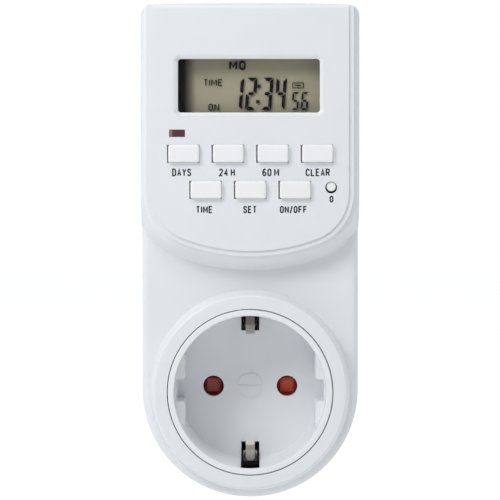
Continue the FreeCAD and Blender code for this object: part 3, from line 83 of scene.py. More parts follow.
def maths(tree, operation, first, second=None):
    # first and second are numbers, or sockets that carry one
    node = tree.nodes.new("ShaderNodeMath")
    node.operation = operation
    for socket, value in zip(node.inputs, (first, second)):
        if isinstance(value, bpy.types.NodeSocket):
            tree.links.new(value, socket)
        elif value is not None:
            socket.default_value = value
    return node.outputs[0]


def axes(tree):
    # the piece's own X, Y and Z
    place = tree.nodes.new("ShaderNodeTexCoord")
    split = tree.nodes.new("ShaderNodeSeparateXYZ")
    tree.links.new(place.outputs["Object"], split.inputs[0])
    return split.outputs


def tone(red, green, blue):
    # screen values 0-255 to scene-linear
    def part(value):
        value /= 255
        return value / 12.92 if value <= 0.04045 else ((value + 0.055) / 1.055) ** 2.4
    return (part(red), part(green), part(blue), 1.0)


def startFinish(name, colour, roughness, metallic=0.0):
    finish = bpy.data.materials.new(name)
    finish.use_nodes = True
    tree = finish.node_tree
    face = tree.nodes["Principled BSDF"]
    face.inputs["Base Color"].default_value = tone(*colour)
    face.inputs["Roughness"].default_value = roughness
    face.inputs["Metallic"].default_value = metallic
    return finish, tree, face


def cloud(tree, perMetre, detail, stretch=(1, 1, 1)):
    place = tree.nodes.new("ShaderNodeTexCoord")
    spread = tree.nodes.new("ShaderNodeMapping")
    spread.inputs["Scale"].default_value = stretch
    noise = tree.nodes.new("ShaderNodeTexNoise")
    noise.inputs["Scale"].default_value = perMetre
    noise.inputs["Detail"].default_value = detail
    tree.links.new(place.outputs["Object"], spread.inputs["Vector"])
    tree.links.new(spread.outputs["Vector"], noise.inputs["Vector"])
    return noise.outputs["Fac"]


def ranged(tree, value, low, high, start=0.3, end=0.7):
    fit = tree.nodes.new("ShaderNodeMapRange")
    fit.inputs["From Min"].default_value = start
    fit.inputs["From Max"].default_value = end
    fit.inputs["To Min"].default_value = low
    fit.inputs["To Max"].default_value = high
    tree.links.new(value, fit.inputs["Value"])
    return fit.outputs["Result"]


def blended(tree, share, first, second):
    # first and second are colours, or sockets that carry one
    mix = tree.nodes.new("ShaderNodeMix")
    mix.data_type = "RGBA"
    tree.links.new(share, mix.inputs[0])
    for socket, colour in ((mix.inputs[6], first), (mix.inputs[7], second)):
        if isinstance(colour, tuple):
            socket.default_value = colour
        else:
            tree.links.new(colour, socket)
    return mix.outputs[2]


def mottled(tree, perMetre, detail, first, second):
    return blended(tree, ranged(tree, cloud(tree, perMetre, detail), 0, 1), first, second)


def unevenGloss(tree, face, perMetre, detail, low, high):
    tree.links.new(ranged(tree, cloud(tree, perMetre, detail), low, high), face.inputs["Roughness"])


def relief(tree, face, height, depth):
    bump = tree.nodes.new("ShaderNodeBump")
    bump.inputs["Distance"].default_value = depth
    tree.links.new(height, bump.inputs["Height"])
    tree.links.new(bump.outputs["Normal"], face.inputs["Normal"])


# Camera, light and floor.

photoView = {
    "place": (0.00122, -0.5085, 0.0434),   # 450 mm before the mouth of the socket
    "sensor": 36,
    "focal": 130.176,
    "shiftAcross": -0.010,
    "shiftUp": -0.064,
    "nearest": 0.01,
}

studio = {
    "aroundLight": 0.545, "frontLight": 0.0,   # white screens at the sides, open towards the camera
    "aroundLean": (0.13, 0.0, 0.80),           # the side on which the screens are brighter
    "aroundTint": (0.945, 0.974, 1.0),
    "lamps": (
        # name, place, size, power
        ("keyLamp", (-0.33, -0.40, 0.36), 0.20, 1.15),
        ("topLamp", (-0.10, -0.60, 0.72), 0.35, 1.30),
    ),
    "middle": (0, -0.045, 0.040),              # where the lamps point
    "floorUnder": 0.045,                       # the socket hangs by its plug, so the floor is lower
    "floorWide": 3.0,
    "paper": 0.88, "paperRough": 0.9,
    "paperLift": 0.35,                         # lifts the paper to white where it is looked at
}


def buildCamera():
    scene.view_settings.view_transform = "Standard"
    data = bpy.data.cameras.new("photoCamera")
    data.sensor_width = photoView["sensor"]
    data.lens = photoView["focal"]
    data.shift_x = photoView["shiftAcross"]
    data.shift_y = photoView["shiftUp"]
    data.clip_start = photoView["nearest"]
    camera = bpy.data.objects.new("photoCamera", data)
    camera.location = photoView["place"]
    camera.rotation_euler = (math.radians(90), 0, 0)
    scene.collection.objects.link(camera)
    scene.camera = camera


def aimedLamp(name, place, size, power):
    towards = Vector(studio["middle"])
    data = bpy.data.lights.new(name, "AREA")
    data.shape = "DISK"
    data.size = size
    data.energy = power
    lamp = bpy.data.objects.new(name, data)
    scene.collection.objects.link(lamp)
    lamp.location = place
    lamp.rotation_euler = (towards - Vector(place)).to_track_quat("-Z", "Y").to_euler()


def seenRays(tree):
    # 1 for what the camera, a glossy surface or glass looks at, 0 for light on the object
    path = tree.nodes.new("ShaderNodeLightPath").outputs
    return maths(tree, "MAXIMUM", maths(tree, "MAXIMUM", path["Is Camera Ray"], path["Is Glossy Ray"]),
                 path["Is Transmission Ray"])


def buildSurround():
    world = bpy.data.worlds.new("studioSurround")
    scene.world = world
    world.use_nodes = True
    tree = world.node_tree
    tree.nodes.clear()
    way = tree.nodes.new("ShaderNodeTexCoord")
    split = tree.nodes.new("ShaderNodeSeparateXYZ")
    tree.links.new(way.outputs["Generated"], split.inputs[0])
    ahead = maths(tree, "MAXIMUM", maths(tree, "MULTIPLY", split.outputs["Y"], -1.0), 0.0)
    fall = ranged(tree, maths(tree, "POWER", ahead, 2.0), studio["aroundLight"], studio["frontLight"], 0, 1)
    lean = tree.nodes.new("ShaderNodeVectorMath")
    lean.operation = "DOT_PRODUCT"
    lean.inputs[1].default_value = studio["aroundLean"]
    tree.links.new(way.outputs["Generated"], lean.inputs[0])
    even = tree.nodes.new("ShaderNodeBackground")
    even.inputs["Color"].default_value = (*studio["aroundTint"], 1)
    tree.links.new(maths(tree, "MULTIPLY", fall, maths(tree, "ADD", lean.outputs["Value"], 1.0)),
                   even.inputs["Strength"])
    white = tree.nodes.new("ShaderNodeBackground")
    white.inputs["Color"].default_value = (1, 1, 1, 1)
    white.inputs["Strength"].default_value = 1.0
    choose = tree.nodes.new("ShaderNodeMixShader")
    out = tree.nodes.new("ShaderNodeOutputWorld")
    tree.links.new(seenRays(tree), choose.inputs["Fac"])
    tree.links.new(even.outputs[0], choose.inputs[1])
    tree.links.new(white.outputs[0], choose.inputs[2])
    tree.links.new(choose.outputs[0], out.inputs["Surface"])


def buildFloor():
    low = cadBox[0][2] - studio["floorUnder"]
    wide = studio["floorWide"]
    sheet = bpy.data.meshes.new("studioFloor")
    sheet.from_pydata([(-wide, -wide, low), (wide, -wide, low), (wide, wide, low), (-wide, wide, low)],
                      [], [(0, 1, 2, 3)])
    floor = bpy.data.objects.new("studioFloor", sheet)
    scene.collection.objects.link(floor)
    paper = bpy.data.materials.new("whitePaper")
    paper.use_nodes = True
    tree = paper.node_tree
    face = tree.nodes["Principled BSDF"]
    face.inputs["Base Color"].default_value = (studio["paper"], studio["paper"], studio["paper"], 1)
    face.inputs["Roughness"].default_value = studio["paperRough"]
    glow = tree.nodes.new("ShaderNodeEmission")
    both = tree.nodes.new("ShaderNodeAddShader")
    tree.links.new(maths(tree, "MULTIPLY", seenRays(tree), studio["paperLift"]), glow.inputs["Strength"])
    tree.links.new(face.outputs[0], both.inputs[0])
    tree.links.new(glow.outputs[0], both.inputs[1])
    tree.links.new(both.outputs[0], tree.nodes["Material Output"].inputs["Surface"])
    sheet.materials.append(paper)


buildCamera()
buildSurround()
for name, place, size, power in studio["lamps"]:
    aimedLamp(name, place, size, power)
buildFloor()
print("timer socket: camera, lamps and floor")


# Finishes by material slot.

plastics = {
    # colour, roughness, grain per metre, grain depth, gloss spread, colour drift
    "white_plastic": {"colour": (231, 233, 236), "rough": 0.40, "grain": 5200, "depth": 0.000010,
                      "spread": 0.05, "drift": 1.2},
    "inner_plastic": {"colour": (208, 209, 207), "rough": 0.46, "grain": 4200, "depth": 0.000010,
                      "spread": 0.06, "drift": 4},
    "key_plastic": {"colour": (242, 242, 242), "rough": 0.32, "grain": 6000, "depth": 0.000003,
                    "spread": 0.02, "drift": 1},
    "mat_rubber": {"colour": (168, 172, 174), "rough": 0.62, "grain": 3500, "depth": 0.000014,
                   "spread": 0.08, "drift": 6},
    "black_plastic": {"colour": (34, 35, 37), "rough": 0.50, "grain": 4200, "depth": 0.000012,
                      "spread": 0.10, "drift": 5},
    "relay_case": {"colour": (30, 34, 40), "rough": 0.36, "grain": 3600, "depth": 0.000008,
                   "spread": 0.08, "drift": 5},
    "film_case": {"colour": (204, 168, 58), "rough": 0.42, "grain": 3600, "depth": 0.000010,
                  "spread": 0.08, "drift": 8},
    "can_sleeve": {"colour": (36, 44, 74), "rough": 0.30, "grain": 2600, "depth": 0.000008,
                   "spread": 0.08, "drift": 6},
    "varistor_coat": {"colour": (44, 92, 150), "rough": 0.34, "grain": 1500, "depth": 0.000030,
                      "spread": 0.10, "drift": 10},
    "fuse_coat": {"colour": (92, 62, 44), "rough": 0.40, "grain": 1800, "depth": 0.000020,
                  "spread": 0.10, "drift": 8},
    "resistor_coat": {"colour": (120, 168, 190), "rough": 0.34, "grain": 2200, "depth": 0.000016,
                      "spread": 0.08, "drift": 8},
    "connector_rubber": {"colour": (214, 170, 168), "rough": 0.6, "grain": 3000, "depth": 0.000012,
                         "spread": 0.08, "drift": 8},
}

metals = {
    # brushed along: the mapping's scale is small along the brushing
    "spring_steel": {"colour": (172, 174, 176), "rough": 0.26, "brush": (1, 1, 1), "fine": 3000,
                     "depth": 0.000004, "drift": 10},
    "contact_metal": {"colour": (204, 203, 200), "rough": 0.24, "brush": (3, 0.4, 0.4), "fine": 2600,
                      "depth": 0.000003, "drift": 10},
    "pin_metal": {"colour": (198, 197, 194), "rough": 0.24, "brush": (3, 0.2, 3), "fine": 2200,
                  "depth": 0.000004, "drift": 10},
    "brass_strip": {"colour": (205, 168, 92), "rough": 0.28, "brush": (4, 4, 0.2), "fine": 2200,
                    "depth": 0.000006, "drift": 14},
    "can_metal": {"colour": (190, 190, 188), "rough": 0.32, "brush": (0.2, 3, 3), "fine": 2400,
                  "depth": 0.000006, "drift": 10},
    "screw_steel": {"colour": (186, 186, 182), "rough": 0.30, "brush": (1, 1, 1), "fine": 2600,
                    "depth": 0.000006, "drift": 14},
}

# noise per metre; so are "mottle" for the colour and "sheen" for the gloss of single finishes
patches = {"drift": 70, "gloss": 900, "tarnish": 160}
streaks = {"brighter": 0.08, "duller": 0.10}                # gloss along the brushing


def shifted(colour, amount):
    return tone(*[min(255, max(0, part + amount)) for part in colour])


def drifted(tree, perMetre, look):
    # the colour a little darker and a little lighter in patches
    return mottled(tree, perMetre, 3, shifted(look["colour"], -look["drift"]),
                   shifted(look["colour"], look["drift"]))


def mouldedPlastic(name, look):
    finish, tree, face = startFinish(name, look["colour"], look["rough"])
    tree.links.new(drifted(tree, patches["drift"], look), face.inputs["Base Color"])
    unevenGloss(tree, face, patches["gloss"], 4,
                look["rough"] - look["spread"], look["rough"] + look["spread"])
    relief(tree, face, cloud(tree, look["grain"], 2), look["depth"])
    return finish


def platedMetal(name, look):
    finish, tree, face = startFinish(name, look["colour"], look["rough"], look.get("metallic", 1.0))
    tree.links.new(drifted(tree, patches["tarnish"], look), face.inputs["Base Color"])
    brushing = cloud(tree, look["fine"], 4, look["brush"])
    tree.links.new(ranged(tree, brushing, look["rough"] - streaks["brighter"],
                          look["rough"] + streaks["duller"]), face.inputs["Roughness"])
    relief(tree, face, brushing, look["depth"])
    return finish


boardLook = {
    "mask": (24, 92, 54), "maskTones": ((22, 88, 52), (24, 96, 56)),
    "track": (52, 138, 82), "trackWide": 0.00018, "trackLong": 0.0076, "trackPitch": 0.00127,
    "trackShift": 0.37, "trackSoft": 0.1, "trackThick": 0.000030,
    "laminate": (178, 160, 104),
    "faceOn": 0.7,               # a cut edge turns more than this away from the board's face
    "rough": 0.32, "gloss": (0.24, 0.40), "sheen": 1200,
}


def boardFinish(name, look):
    # green mask with paler tracks on the faces, bare laminate on the cut edges
    finish, tree, face = startFinish(name, look["mask"], look["rough"])
    place = tree.nodes.new("ShaderNodeTexCoord")
    turn = tree.nodes.new("ShaderNodeMapping")
    turn.inputs["Rotation"].default_value = (math.radians(90), 0, 0)
    tracks = tree.nodes.new("ShaderNodeTexBrick")
    tracks.offset = look["trackShift"]
    for socket, value in (("Color1", tone(*look["maskTones"][0])), ("Color2", tone(*look["maskTones"][1])),
                          ("Mortar", tone(*look["track"])), ("Mortar Size", look["trackWide"]),
                          ("Mortar Smooth", look["trackSoft"]), ("Brick Width", look["trackLong"]),
                          ("Row Height", look["trackPitch"]), ("Scale", 1.0)):
        tracks.inputs[socket].default_value = value
    tree.links.new(place.outputs["Object"], turn.inputs["Vector"])
    tree.links.new(turn.outputs["Vector"], tracks.inputs["Vector"])
    split = tree.nodes.new("ShaderNodeSeparateXYZ")
    tree.links.new(tree.nodes.new("ShaderNodeNewGeometry").outputs["Normal"], split.inputs[0])
    onFace = maths(tree, "GREATER_THAN", maths(tree, "ABSOLUTE", split.outputs["Y"]), look["faceOn"])
    tree.links.new(blended(tree, onFace, tone(*look["laminate"]), tracks.outputs["Color"]),
                   face.inputs["Base Color"])
    unevenGloss(tree, face, look["sheen"], 3, *look["gloss"])
    relief(tree, face, tracks.outputs["Fac"], look["trackThick"])
    return finish


panes = {
    "clear_pane": {"through": (250, 251, 251), "shine": 0.003, "rough": 0.02},
    "lcd_glass": {"through": (252, 253, 252), "shine": 0.0015, "rough": 0.04},
}
paneRim = {"power": 5.0, "shine": 0.9, "sheen": 600, "spread": 0.03}


def clearPane(name, look):
    # lets light straight through, so what lies behind is lit and seen as through a flat pane
    finish = bpy.data.materials.new(name)
    finish.use_nodes = True
    tree = finish.node_tree
    tree.nodes.remove(tree.nodes["Principled BSDF"])
    through = tree.nodes.new("ShaderNodeBsdfTransparent")
    through.inputs["Color"].default_value = tone(*look["through"])
    shine = tree.nodes.new("ShaderNodeBsdfGlossy")
    shine.inputs["Color"].default_value = (1, 1, 1, 1)
    unevenGloss(tree, shine, paneRim["sheen"], 3, look["rough"], look["rough"] + paneRim["spread"])
    rim = tree.nodes.new("ShaderNodeLayerWeight")
    rim.inputs["Blend"].default_value = 0.5
    steep = maths(tree, "POWER", rim.outputs["Facing"], paneRim["power"])
    mix = tree.nodes.new("ShaderNodeMixShader")
    tree.links.new(ranged(tree, steep, look["shine"], paneRim["shine"], 0, 1), mix.inputs["Fac"])
    tree.links.new(through.outputs[0], mix.inputs[1])
    tree.links.new(shine.outputs[0], mix.inputs[2])
    tree.links.new(mix.outputs[0], tree.nodes["Material Output"].inputs["Surface"])
    return finish


lensLook = {
    "colour": (72, 28, 36), "rough": 0.16, "dark": (54, 20, 28), "light": (92, 34, 44), "mottle": 700,
    "edge": (128, 104, 110), "edgeAt": (-0.0195, -0.0193), "gloss": (0.12, 0.22), "sheen": 1400,
}


def tintedLens(name, look):
    # dark red, paler in a strip at its left end
    finish, tree, face = startFinish(name, look["colour"], look["rough"])
    body = mottled(tree, look["mottle"], 3, tone(*look["dark"]), tone(*look["light"]))
    strip = ranged(tree, axes(tree)["X"], 1, 0, *look["edgeAt"])
    tree.links.new(blended(tree, strip, body, tone(*look["edge"])), face.inputs["Base Color"])
    unevenGloss(tree, face, look["sheen"], 2, *look["gloss"])
    return finish


shutterLook = {
    "colour": (196, 62, 40), "rough": 0.38, "spread": 0.06, "mottle": 2200, "mottled": 0.25,
    # painted shade at the left hole and painted light at the right hole
    "left": (158, 48, 34), "right": (236, 70, 34),
    # a hollow this far from the middle, with shade painted from its clear bottom out to the hole's edge
    "across": 0.0095, "clear": 0.0008, "edge": 0.0029, "deep": 0.0007, "shade": (92, 26, 24),
}


def dishedPlasticPaintedShade(name, look):
    # the shutter is hollowed behind each pin hole, with shade painted darker towards the hole's edge, and
    # light and shade painted across it
    finish, tree, face = startFinish(name, look["colour"], look["rough"])
    split = axes(tree)
    about = tree.nodes.new("ShaderNodeCombineXYZ")
    tree.links.new(maths(tree, "ABSOLUTE", split["X"]), about.inputs["X"])
    tree.links.new(split["Z"], about.inputs["Y"])
    away = tree.nodes.new("ShaderNodeVectorMath")
    away.operation = "DISTANCE"
    away.inputs[1].default_value = (look["across"], 0, 0)
    tree.links.new(about.outputs[0], away.inputs[0])
    # painted shade, darker out towards each hole's edge
    rim = ranged(tree, away.outputs["Value"], 0, 1, look["clear"], look["edge"])
    # painted light and shade across the shutter, darker on the left and lighter on the right
    paintedLightAcross = blended(tree, ranged(tree, split["X"], 0, 1, -look["across"], look["across"]),
                   tone(*look["left"]), tone(*look["right"]))
    mottle = ranged(tree, cloud(tree, look["mottle"], 3), 0, look["mottled"])
    body = blended(tree, mottle, paintedLightAcross, tone(*look["colour"]))
    tree.links.new(blended(tree, rim, body, tone(*look["shade"])), face.inputs["Base Color"])
    bowl = maths(tree, "POWER", ranged(tree, away.outputs["Value"], 0, 1, 0, look["edge"]), 2.0)
    relief(tree, face, bowl, look["deep"])
    unevenGloss(tree, face, patches["gloss"], 4,
                look["rough"] - look["spread"], look["rough"] + look["spread"])
    return finish


potLook = {"colour": (235, 237, 240), "rough": 0.34, "grain": 5200, "depth": 0.000006,
           "spread": 0.05, "drift": 1.2}

windows = {
    # both earth windows about the recess's axis: half their width, nearest and farthest reach
    # with the recess's wall between, and the plane that they lie behind
    "half": 0.00240, "inner": 0.0143, "wall": 0.0178, "outer": 0.0226, "front": -0.0577,
    "bend": -0.0418, "crease": 0.0161,         # where the clips in them bend
    # dark is the painted shade on the pot's flange behind the windows, faded in over fade and sideFade
    "fade": 0.0002, "sideFade": 0.0001, "dark": (46, 47, 50),
}


def potPlasticPaintedShade(name, look):
    # painted shade where the pot's flange is seen through an earth window, beyond the recess's wall
    finish = mouldedPlastic(name, look)
    tree, fade = finish.node_tree, windows["fade"]
    face = tree.nodes["Principled BSDF"]
    plain = face.inputs["Base Color"].links[0].from_socket
    split = axes(tree)
    beyond = ranged(tree, maths(tree, "ABSOLUTE", split["Z"]), 0, 1, windows["wall"], windows["wall"] + fade)
    between = ranged(tree, maths(tree, "ABSOLUTE", split["X"]), 0, 1,
                     windows["half"], windows["half"] - windows["sideFade"])
    behind = ranged(tree, split["Y"], 0, 1, windows["front"], windows["front"] + fade)
    share = maths(tree, "MULTIPLY", maths(tree, "MULTIPLY", beyond, between), behind)
    tree.links.new(blended(tree, share, plain, tone(*windows["dark"])), face.inputs["Base Color"])
    return finish


finishes = {name: mouldedPlastic(name, look) for name, look in plastics.items()}
finishes.update({name: platedMetal(name, look) for name, look in metals.items()})
finishes.update({name: clearPane(name, look) for name, look in panes.items()})
finishes["pot_plastic"] = potPlasticPaintedShade("pot_plastic_windowed", potLook)
finishes["shutter_red"] = dishedPlasticPaintedShade("shutter_red_dished", shutterLook)
finishes["board_green"] = boardFinish("board_green", boardLook)
finishes["red_lens"] = tintedLens("red_lens", lensLook)

for name, shape in nodes.items():
    shape.data.materials.clear()
    shape.data.materials.append(finishes[slotOf[name]])
print("timer socket: finishes on", len(nodes), "nodes")


# Mouldings and strips with rounded edges, with shade painted where no light gets in, and light and shade
# painted on the clips.

cloudyLooks = {
    "window_shade": {"colour": (46, 47, 50), "rough": 0.7, "dark": (40, 41, 44), "light": (54, 55, 58),
                     "mottle": 1800, "gloss": (0.6, 0.8), "sheen": 900, "detail": 2},
    "panel_ink": {"colour": (16, 19, 22), "rough": 0.38, "dark": (13, 16, 19), "light": (20, 23, 26),
                  "mottle": 1500, "gloss": (0.30, 0.50), "sheen": 2600, "detail": 3},
}


def cloudyFinish(name):
    # two tones and two grades of gloss, in patches
    look = cloudyLooks[name]
    finish, tree, face = startFinish(name, look["colour"], look["rough"])
    tree.links.new(mottled(tree, look["mottle"], 3, tone(*look["dark"]), tone(*look["light"])),
                   face.inputs["Base Color"])
    unevenGloss(tree, face, look["sheen"], look["detail"], *look["gloss"])
    return finish


# lit and shaded copies of the clips' metal: painted shade on the upper tongue and on the flat of the lower
# tongue, painted light on both tips
stripLooks = {
    "strip_shade": {"colour": (104, 102, 98), "rough": 0.40},
    "strip_flat": {"colour": (168, 166, 160), "rough": 0.34},
    "strip_tip": {"colour": (226, 220, 212), "rough": 0.48, "metallic": 0.15},
}
stripBrush = {"brush": (3, 0.4, 0.4), "fine": 2600, "depth": 0.000003, "drift": 8}
strips = {name: platedMetal(name, {**look, **stripBrush}) for name, look in stripLooks.items()}
# a dark finish, painted shade where no light gets in
shade = cloudyFinish("window_shade")

zoneEdges = {
    "besidePane": 0.0005, "beforePane": 0.0001, "behindPane": 0.002,
    "resetFront": -0.05785, "resetTop": 0.0519,
    "even": 0.00002,             # a flat face is no deeper than this
}


def inWindow(points, centre):
    # a wall of one of the two earth windows, painted with shade
    return (all(abs(point.x) < windows["half"] for point in points)
            and windows["inner"] < abs(centre.z) < windows["outer"] and centre.y > windows["front"])


def behindBend(points, centre):
    # the clips' metal deeper than their bends, painted with shade
    return centre.y > windows["bend"]


def upperTongue(points, centre):
    # the upper clip's tongue and bend, under the lip of the collar, painted with shade
    return centre.y < windows["bend"] and centre.z > windows["crease"]


def lowerTongue(points, centre):
    # the flat of the lower clip's tongue, without its rounded rim, painted with shade
    deep = [point.y for point in points]
    return (centre.z < -windows["crease"] and centre.y < windows["bend"]
            and max(deep) - min(deep) < zoneEdges["even"])


def clipTip(points, centre):
    # the clips' tips, painted with light in a lighter, duller finish
    return abs(centre.z) <= windows["crease"] and centre.y < windows["bend"]


def inHead(points, centre):
    # a wall of an earth window, or the edge that the display's pane lies in, both painted with shade
    low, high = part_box("display_window")
    aside, before, behind = (zoneEdges[edge] for edge in ("besidePane", "beforePane", "behindPane"))
    aboutPane = (low.x - aside < centre.x < high.x + aside and low.z - aside < centre.z < high.z + aside
                 and low.y - before < centre.y < high.y + behind)
    return aboutPane or inWindow(points, centre)


def resetGap(points, centre):
    # the reset key's sides and flange below its top, painted with shade so that its gap shows dark
    return centre.y > zoneEdges["resetFront"] and centre.z < zoneEdges["resetTop"]


softEdges = {
    # width of the rounds, the turn from which an edge is rounded, steps in a round, zones painted with shade
    # or light in another finish
    "front_housing": {"wide": 0.00022, "turn": 50, "steps": 2, "zones": ((shade, inHead),)},
    "rear_housing": {"wide": 0.00022, "turn": 50, "steps": 2},
    "socket_pot": {"wide": 0.00018, "turn": 50, "steps": 2, "zones": ((shade, inWindow),)},
    "earth_bracket": {"wide": 0.00026, "turn": 20, "steps": 3, "zones": (
        (shade, behindBend), (strips["strip_shade"], upperTongue),
        (strips["strip_flat"], lowerTongue), (strips["strip_tip"], clipTip))},
    "safety_shutter": {"wide": 0.00045, "turn": 30, "steps": 3},
    "reset_key": {"wide": 0.00012, "turn": 40, "steps": 2, "zones": ((shade, resetGap),)},
}

meshWork = {"weld": 0.000002, "flat": 0.6, "sharp": 50, "areaWeight": 50}


def settle(piece):
    # the piece as its modifiers make it, kept as a plain mesh
    bpy.context.view_layer.update()
    seen = piece.evaluated_get(bpy.context.evaluated_depsgraph_get())
    made = bpy.data.meshes.new_from_object(seen)
    piece.modifiers.clear()
    piece.data = made


def looseCopy(name, ending):
    # a copy of the node to reshape, with its flat faces merged
    piece = bpy.data.objects.new(name + ending, nodes[name].data.copy())
    scene.collection.objects.link(piece)
    work = bmesh.new()
    work.from_mesh(piece.data)
    bmesh.ops.remove_doubles(work, verts=work.verts, dist=meshWork["weld"])
    bmesh.ops.dissolve_limit(work, angle_limit=math.radians(meshWork["flat"]), verts=work.verts,
                             edges=work.edges)
    return piece, work


def evenShading(piece, sharp):
    # rounded edges shade smoothly, flat faces stay flat
    for polygon in piece.data.polygons:
        polygon.use_smooth = True
    piece.data.set_sharp_from_angle(angle=math.radians(sharp))
    even = piece.modifiers.new("even shading", "WEIGHTED_NORMAL")
    even.mode = "FACE_AREA"
    even.weight = meshWork["areaWeight"]
    even.keep_sharp = True
    settle(piece)


def softened(name, look):
    # a copy of the moulding whose sharp edges are rounded, as a mould leaves them
    piece, work = looseCopy(name, "_moulding")
    work.to_mesh(piece.data)
    work.free()
    rounding = piece.modifiers.new("rounding", "BEVEL")
    rounding.limit_method = "ANGLE"
    rounding.angle_limit = math.radians(look["turn"])
    rounding.width = look["wide"]
    rounding.segments = look["steps"]
    rounding.use_clamp_overlap = True
    settle(piece)
    evenShading(piece, meshWork["sharp"])
    mesh = piece.data
    for place, (finish, inZone) in enumerate(look.get("zones", ()), 1):
        mesh.materials.append(finish)
        for polygon in mesh.polygons:
            points = [mesh.vertices[index].co for index in polygon.vertices]
            if polygon.material_index == 0 and inZone(points, polygon.center):
                polygon.material_index = place
    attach(piece, nodes[name]["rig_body"])
    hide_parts(name)


for name, look in softEdges.items():
    softened(name, look)
print("timer socket: housings and pot with softened edges")


# Key caps.

keyCaps = {
    "names": ("day_key", "hour_key", "minute_key", "recall_key", "clock_key", "program_key", "mode_key"),
    "panelBack": -0.0561,        # the cap is what stands before this plane
    "capLeft": -0.00375, "capRight": 0.00391, "capHalf": 0.00203,   # in its node, about the key's middle
    "left": -0.00370, "right": 0.00401, "top": 0.00221, "foot": -0.00219,
    "slack": 0.0001, "sharp": 40,
}


def keyCapPiece(name):
    # the cap sits over to the right of its opening, so the left gap shows dark
    look = keyCaps
    low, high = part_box(name)
    middleX, middleZ = (low.x + high.x) / 2, (low.z + high.z) / 2
    piece, work = looseCopy(name, "_cap")
    for vertex in work.verts:
        across, up = vertex.co.x - middleX, vertex.co.z - middleZ
        if vertex.co.y < look["panelBack"] and abs(up) < look["capHalf"] + look["slack"]:
            share = (across - look["capLeft"]) / (look["capRight"] - look["capLeft"])
            vertex.co.x = middleX + look["left"] + share * (look["right"] - look["left"])
            share = (up + look["capHalf"]) / (2 * look["capHalf"])
            vertex.co.z = middleZ + look["foot"] + share * (look["top"] - look["foot"])
    work.to_mesh(piece.data)
    work.free()
    evenShading(piece, look["sharp"])
    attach(piece, nodes[name]["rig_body"])
    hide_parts(name)


for name in keyCaps["names"]:
    keyCapPiece(name)
print("timer socket: key caps")


# Printed words.

panelWords = {
    "front": -0.0583,            # face of the panel
    "ink": 0.00002, "sunk": 0.00001,
    "stroke": 0.00035,
    "narrow": 0.66, "apart": 1.1,
    "rowOneHigh": 0.0016, "rowTwoHigh": 0.0015, "resetHigh": 0.0014,
    "words": (
        # word, across, up, its row's height
        ("DAYS", -0.01705, 0.05475, "rowOneHigh"), ("24 H", -0.00577, 0.05475, "rowOneHigh"),
        ("60 M", 0.00513, 0.05475, "rowOneHigh"), ("CLEAR", 0.01684, 0.05475, "rowOneHigh"),
        ("TIME", -0.01140, 0.04550, "rowTwoHigh"), ("SET", -0.00005, 0.04550, "rowTwoHigh"),
        ("ON/OFF", 0.01080, 0.04550, "rowTwoHigh"), ("0", 0.02026, 0.04810, "resetHigh"),
    ),
}

letterStrokes = {
    # strokes on a field 4 wide and 6 high
    "A": (((0, 0), (2, 6), (4, 0)), ((0.7, 1.9), (3.3, 1.9))),
    "C": (((4, 4.6), (3.4, 5.6), (2, 6), (0.6, 5.6), (0, 4.6), (0, 1.4), (0.6, 0.4), (2, 0), (3.4, 0.4),
           (4, 1.4)),),
    "D": (((0, 0), (0, 6), (2.2, 6), (3.5, 5.5), (4, 4.3), (4, 1.7), (3.5, 0.5), (2.2, 0), (0, 0)),),
    "E": (((4, 6), (0, 6), (0, 0), (4, 0)), ((0, 3.1), (3.4, 3.1))),
    "F": (((4, 6), (0, 6), (0, 0)), ((0, 3.1), (3.4, 3.1))),
    "H": (((0, 0), (0, 6)), ((4, 0), (4, 6)), ((0, 3.1), (4, 3.1))),
    "I": (((0, 0), (0, 6)),),
    "L": (((0, 6), (0, 0), (4, 0)),),
    "M": (((0, 0), (0, 6)), ((0.3, 6), (2.6, 1.4), (4.9, 6)), ((5.2, 6), (5.2, 0))),
    "N": (((0, 0), (0, 6)), ((0.2, 6), (4.2, 0)), ((4.4, 0), (4.4, 6))),
    "O": (((0, 3), (0, 4.6), (0.6, 5.6), (2, 6), (3.4, 5.6), (4, 4.6), (4, 1.4), (3.4, 0.4), (2, 0),
           (0.6, 0.4), (0, 1.4), (0, 3)),),
    "R": (((0, 0), (0, 6), (2.6, 6), (3.7, 5.6), (4, 4.6), (3.7, 3.4), (2.6, 3), (0, 3)),
          ((2.3, 3), (4, 0))),
    "S": (((3.9, 4.6), (3.4, 5.6), (2, 6), (0.6, 5.6), (0.1, 4.6), (0.6, 3.6), (2, 3.1), (3.4, 2.5),
           (3.9, 1.4), (3.4, 0.4), (2, 0), (0.6, 0.4), (0.1, 1.4)),),
    "T": (((0, 6), (4, 6)), ((2, 6), (2, 0))),
    "Y": (((0, 6), (2, 3), (4, 6)), ((2, 3), (2, 0))),
    "2": (((0, 4.6), (0.6, 5.6), (2, 6), (3.4, 5.6), (4, 4.6), (3.6, 3.5), (0, 0), (4, 0)),),
    "4": (((3.1, 0), (3.1, 6), (0, 1.8), (4.2, 1.8)),),
    "6": (((3.7, 5.2), (2.4, 6), (0.8, 5.3), (0, 3.8), (0, 1.5), (0.6, 0.4), (2, 0), (3.4, 0.4), (4, 1.6),
           (3.5, 2.9), (2.1, 3.4), (0.7, 2.9), (0, 2.0)),),
    "/": (((0, -0.6), (2.6, 6.6)),),
}
letterStrokes["0"] = letterStrokes["O"]
slimStrokes = {"M": 1, "N": 1}       # the slanted stroke between two upright ones

letterForm = {
    "field": 6, "space": 2.4, "slim": 0.62,
    "lift": 0.000003,                # each stroke of a letter lies this much over the one before
    "meets": 1e-6,                   # a band whose ends are as close as this is closed
    "mitre": 0.2, "corner": 0.95,    # how far a corner may reach out
}


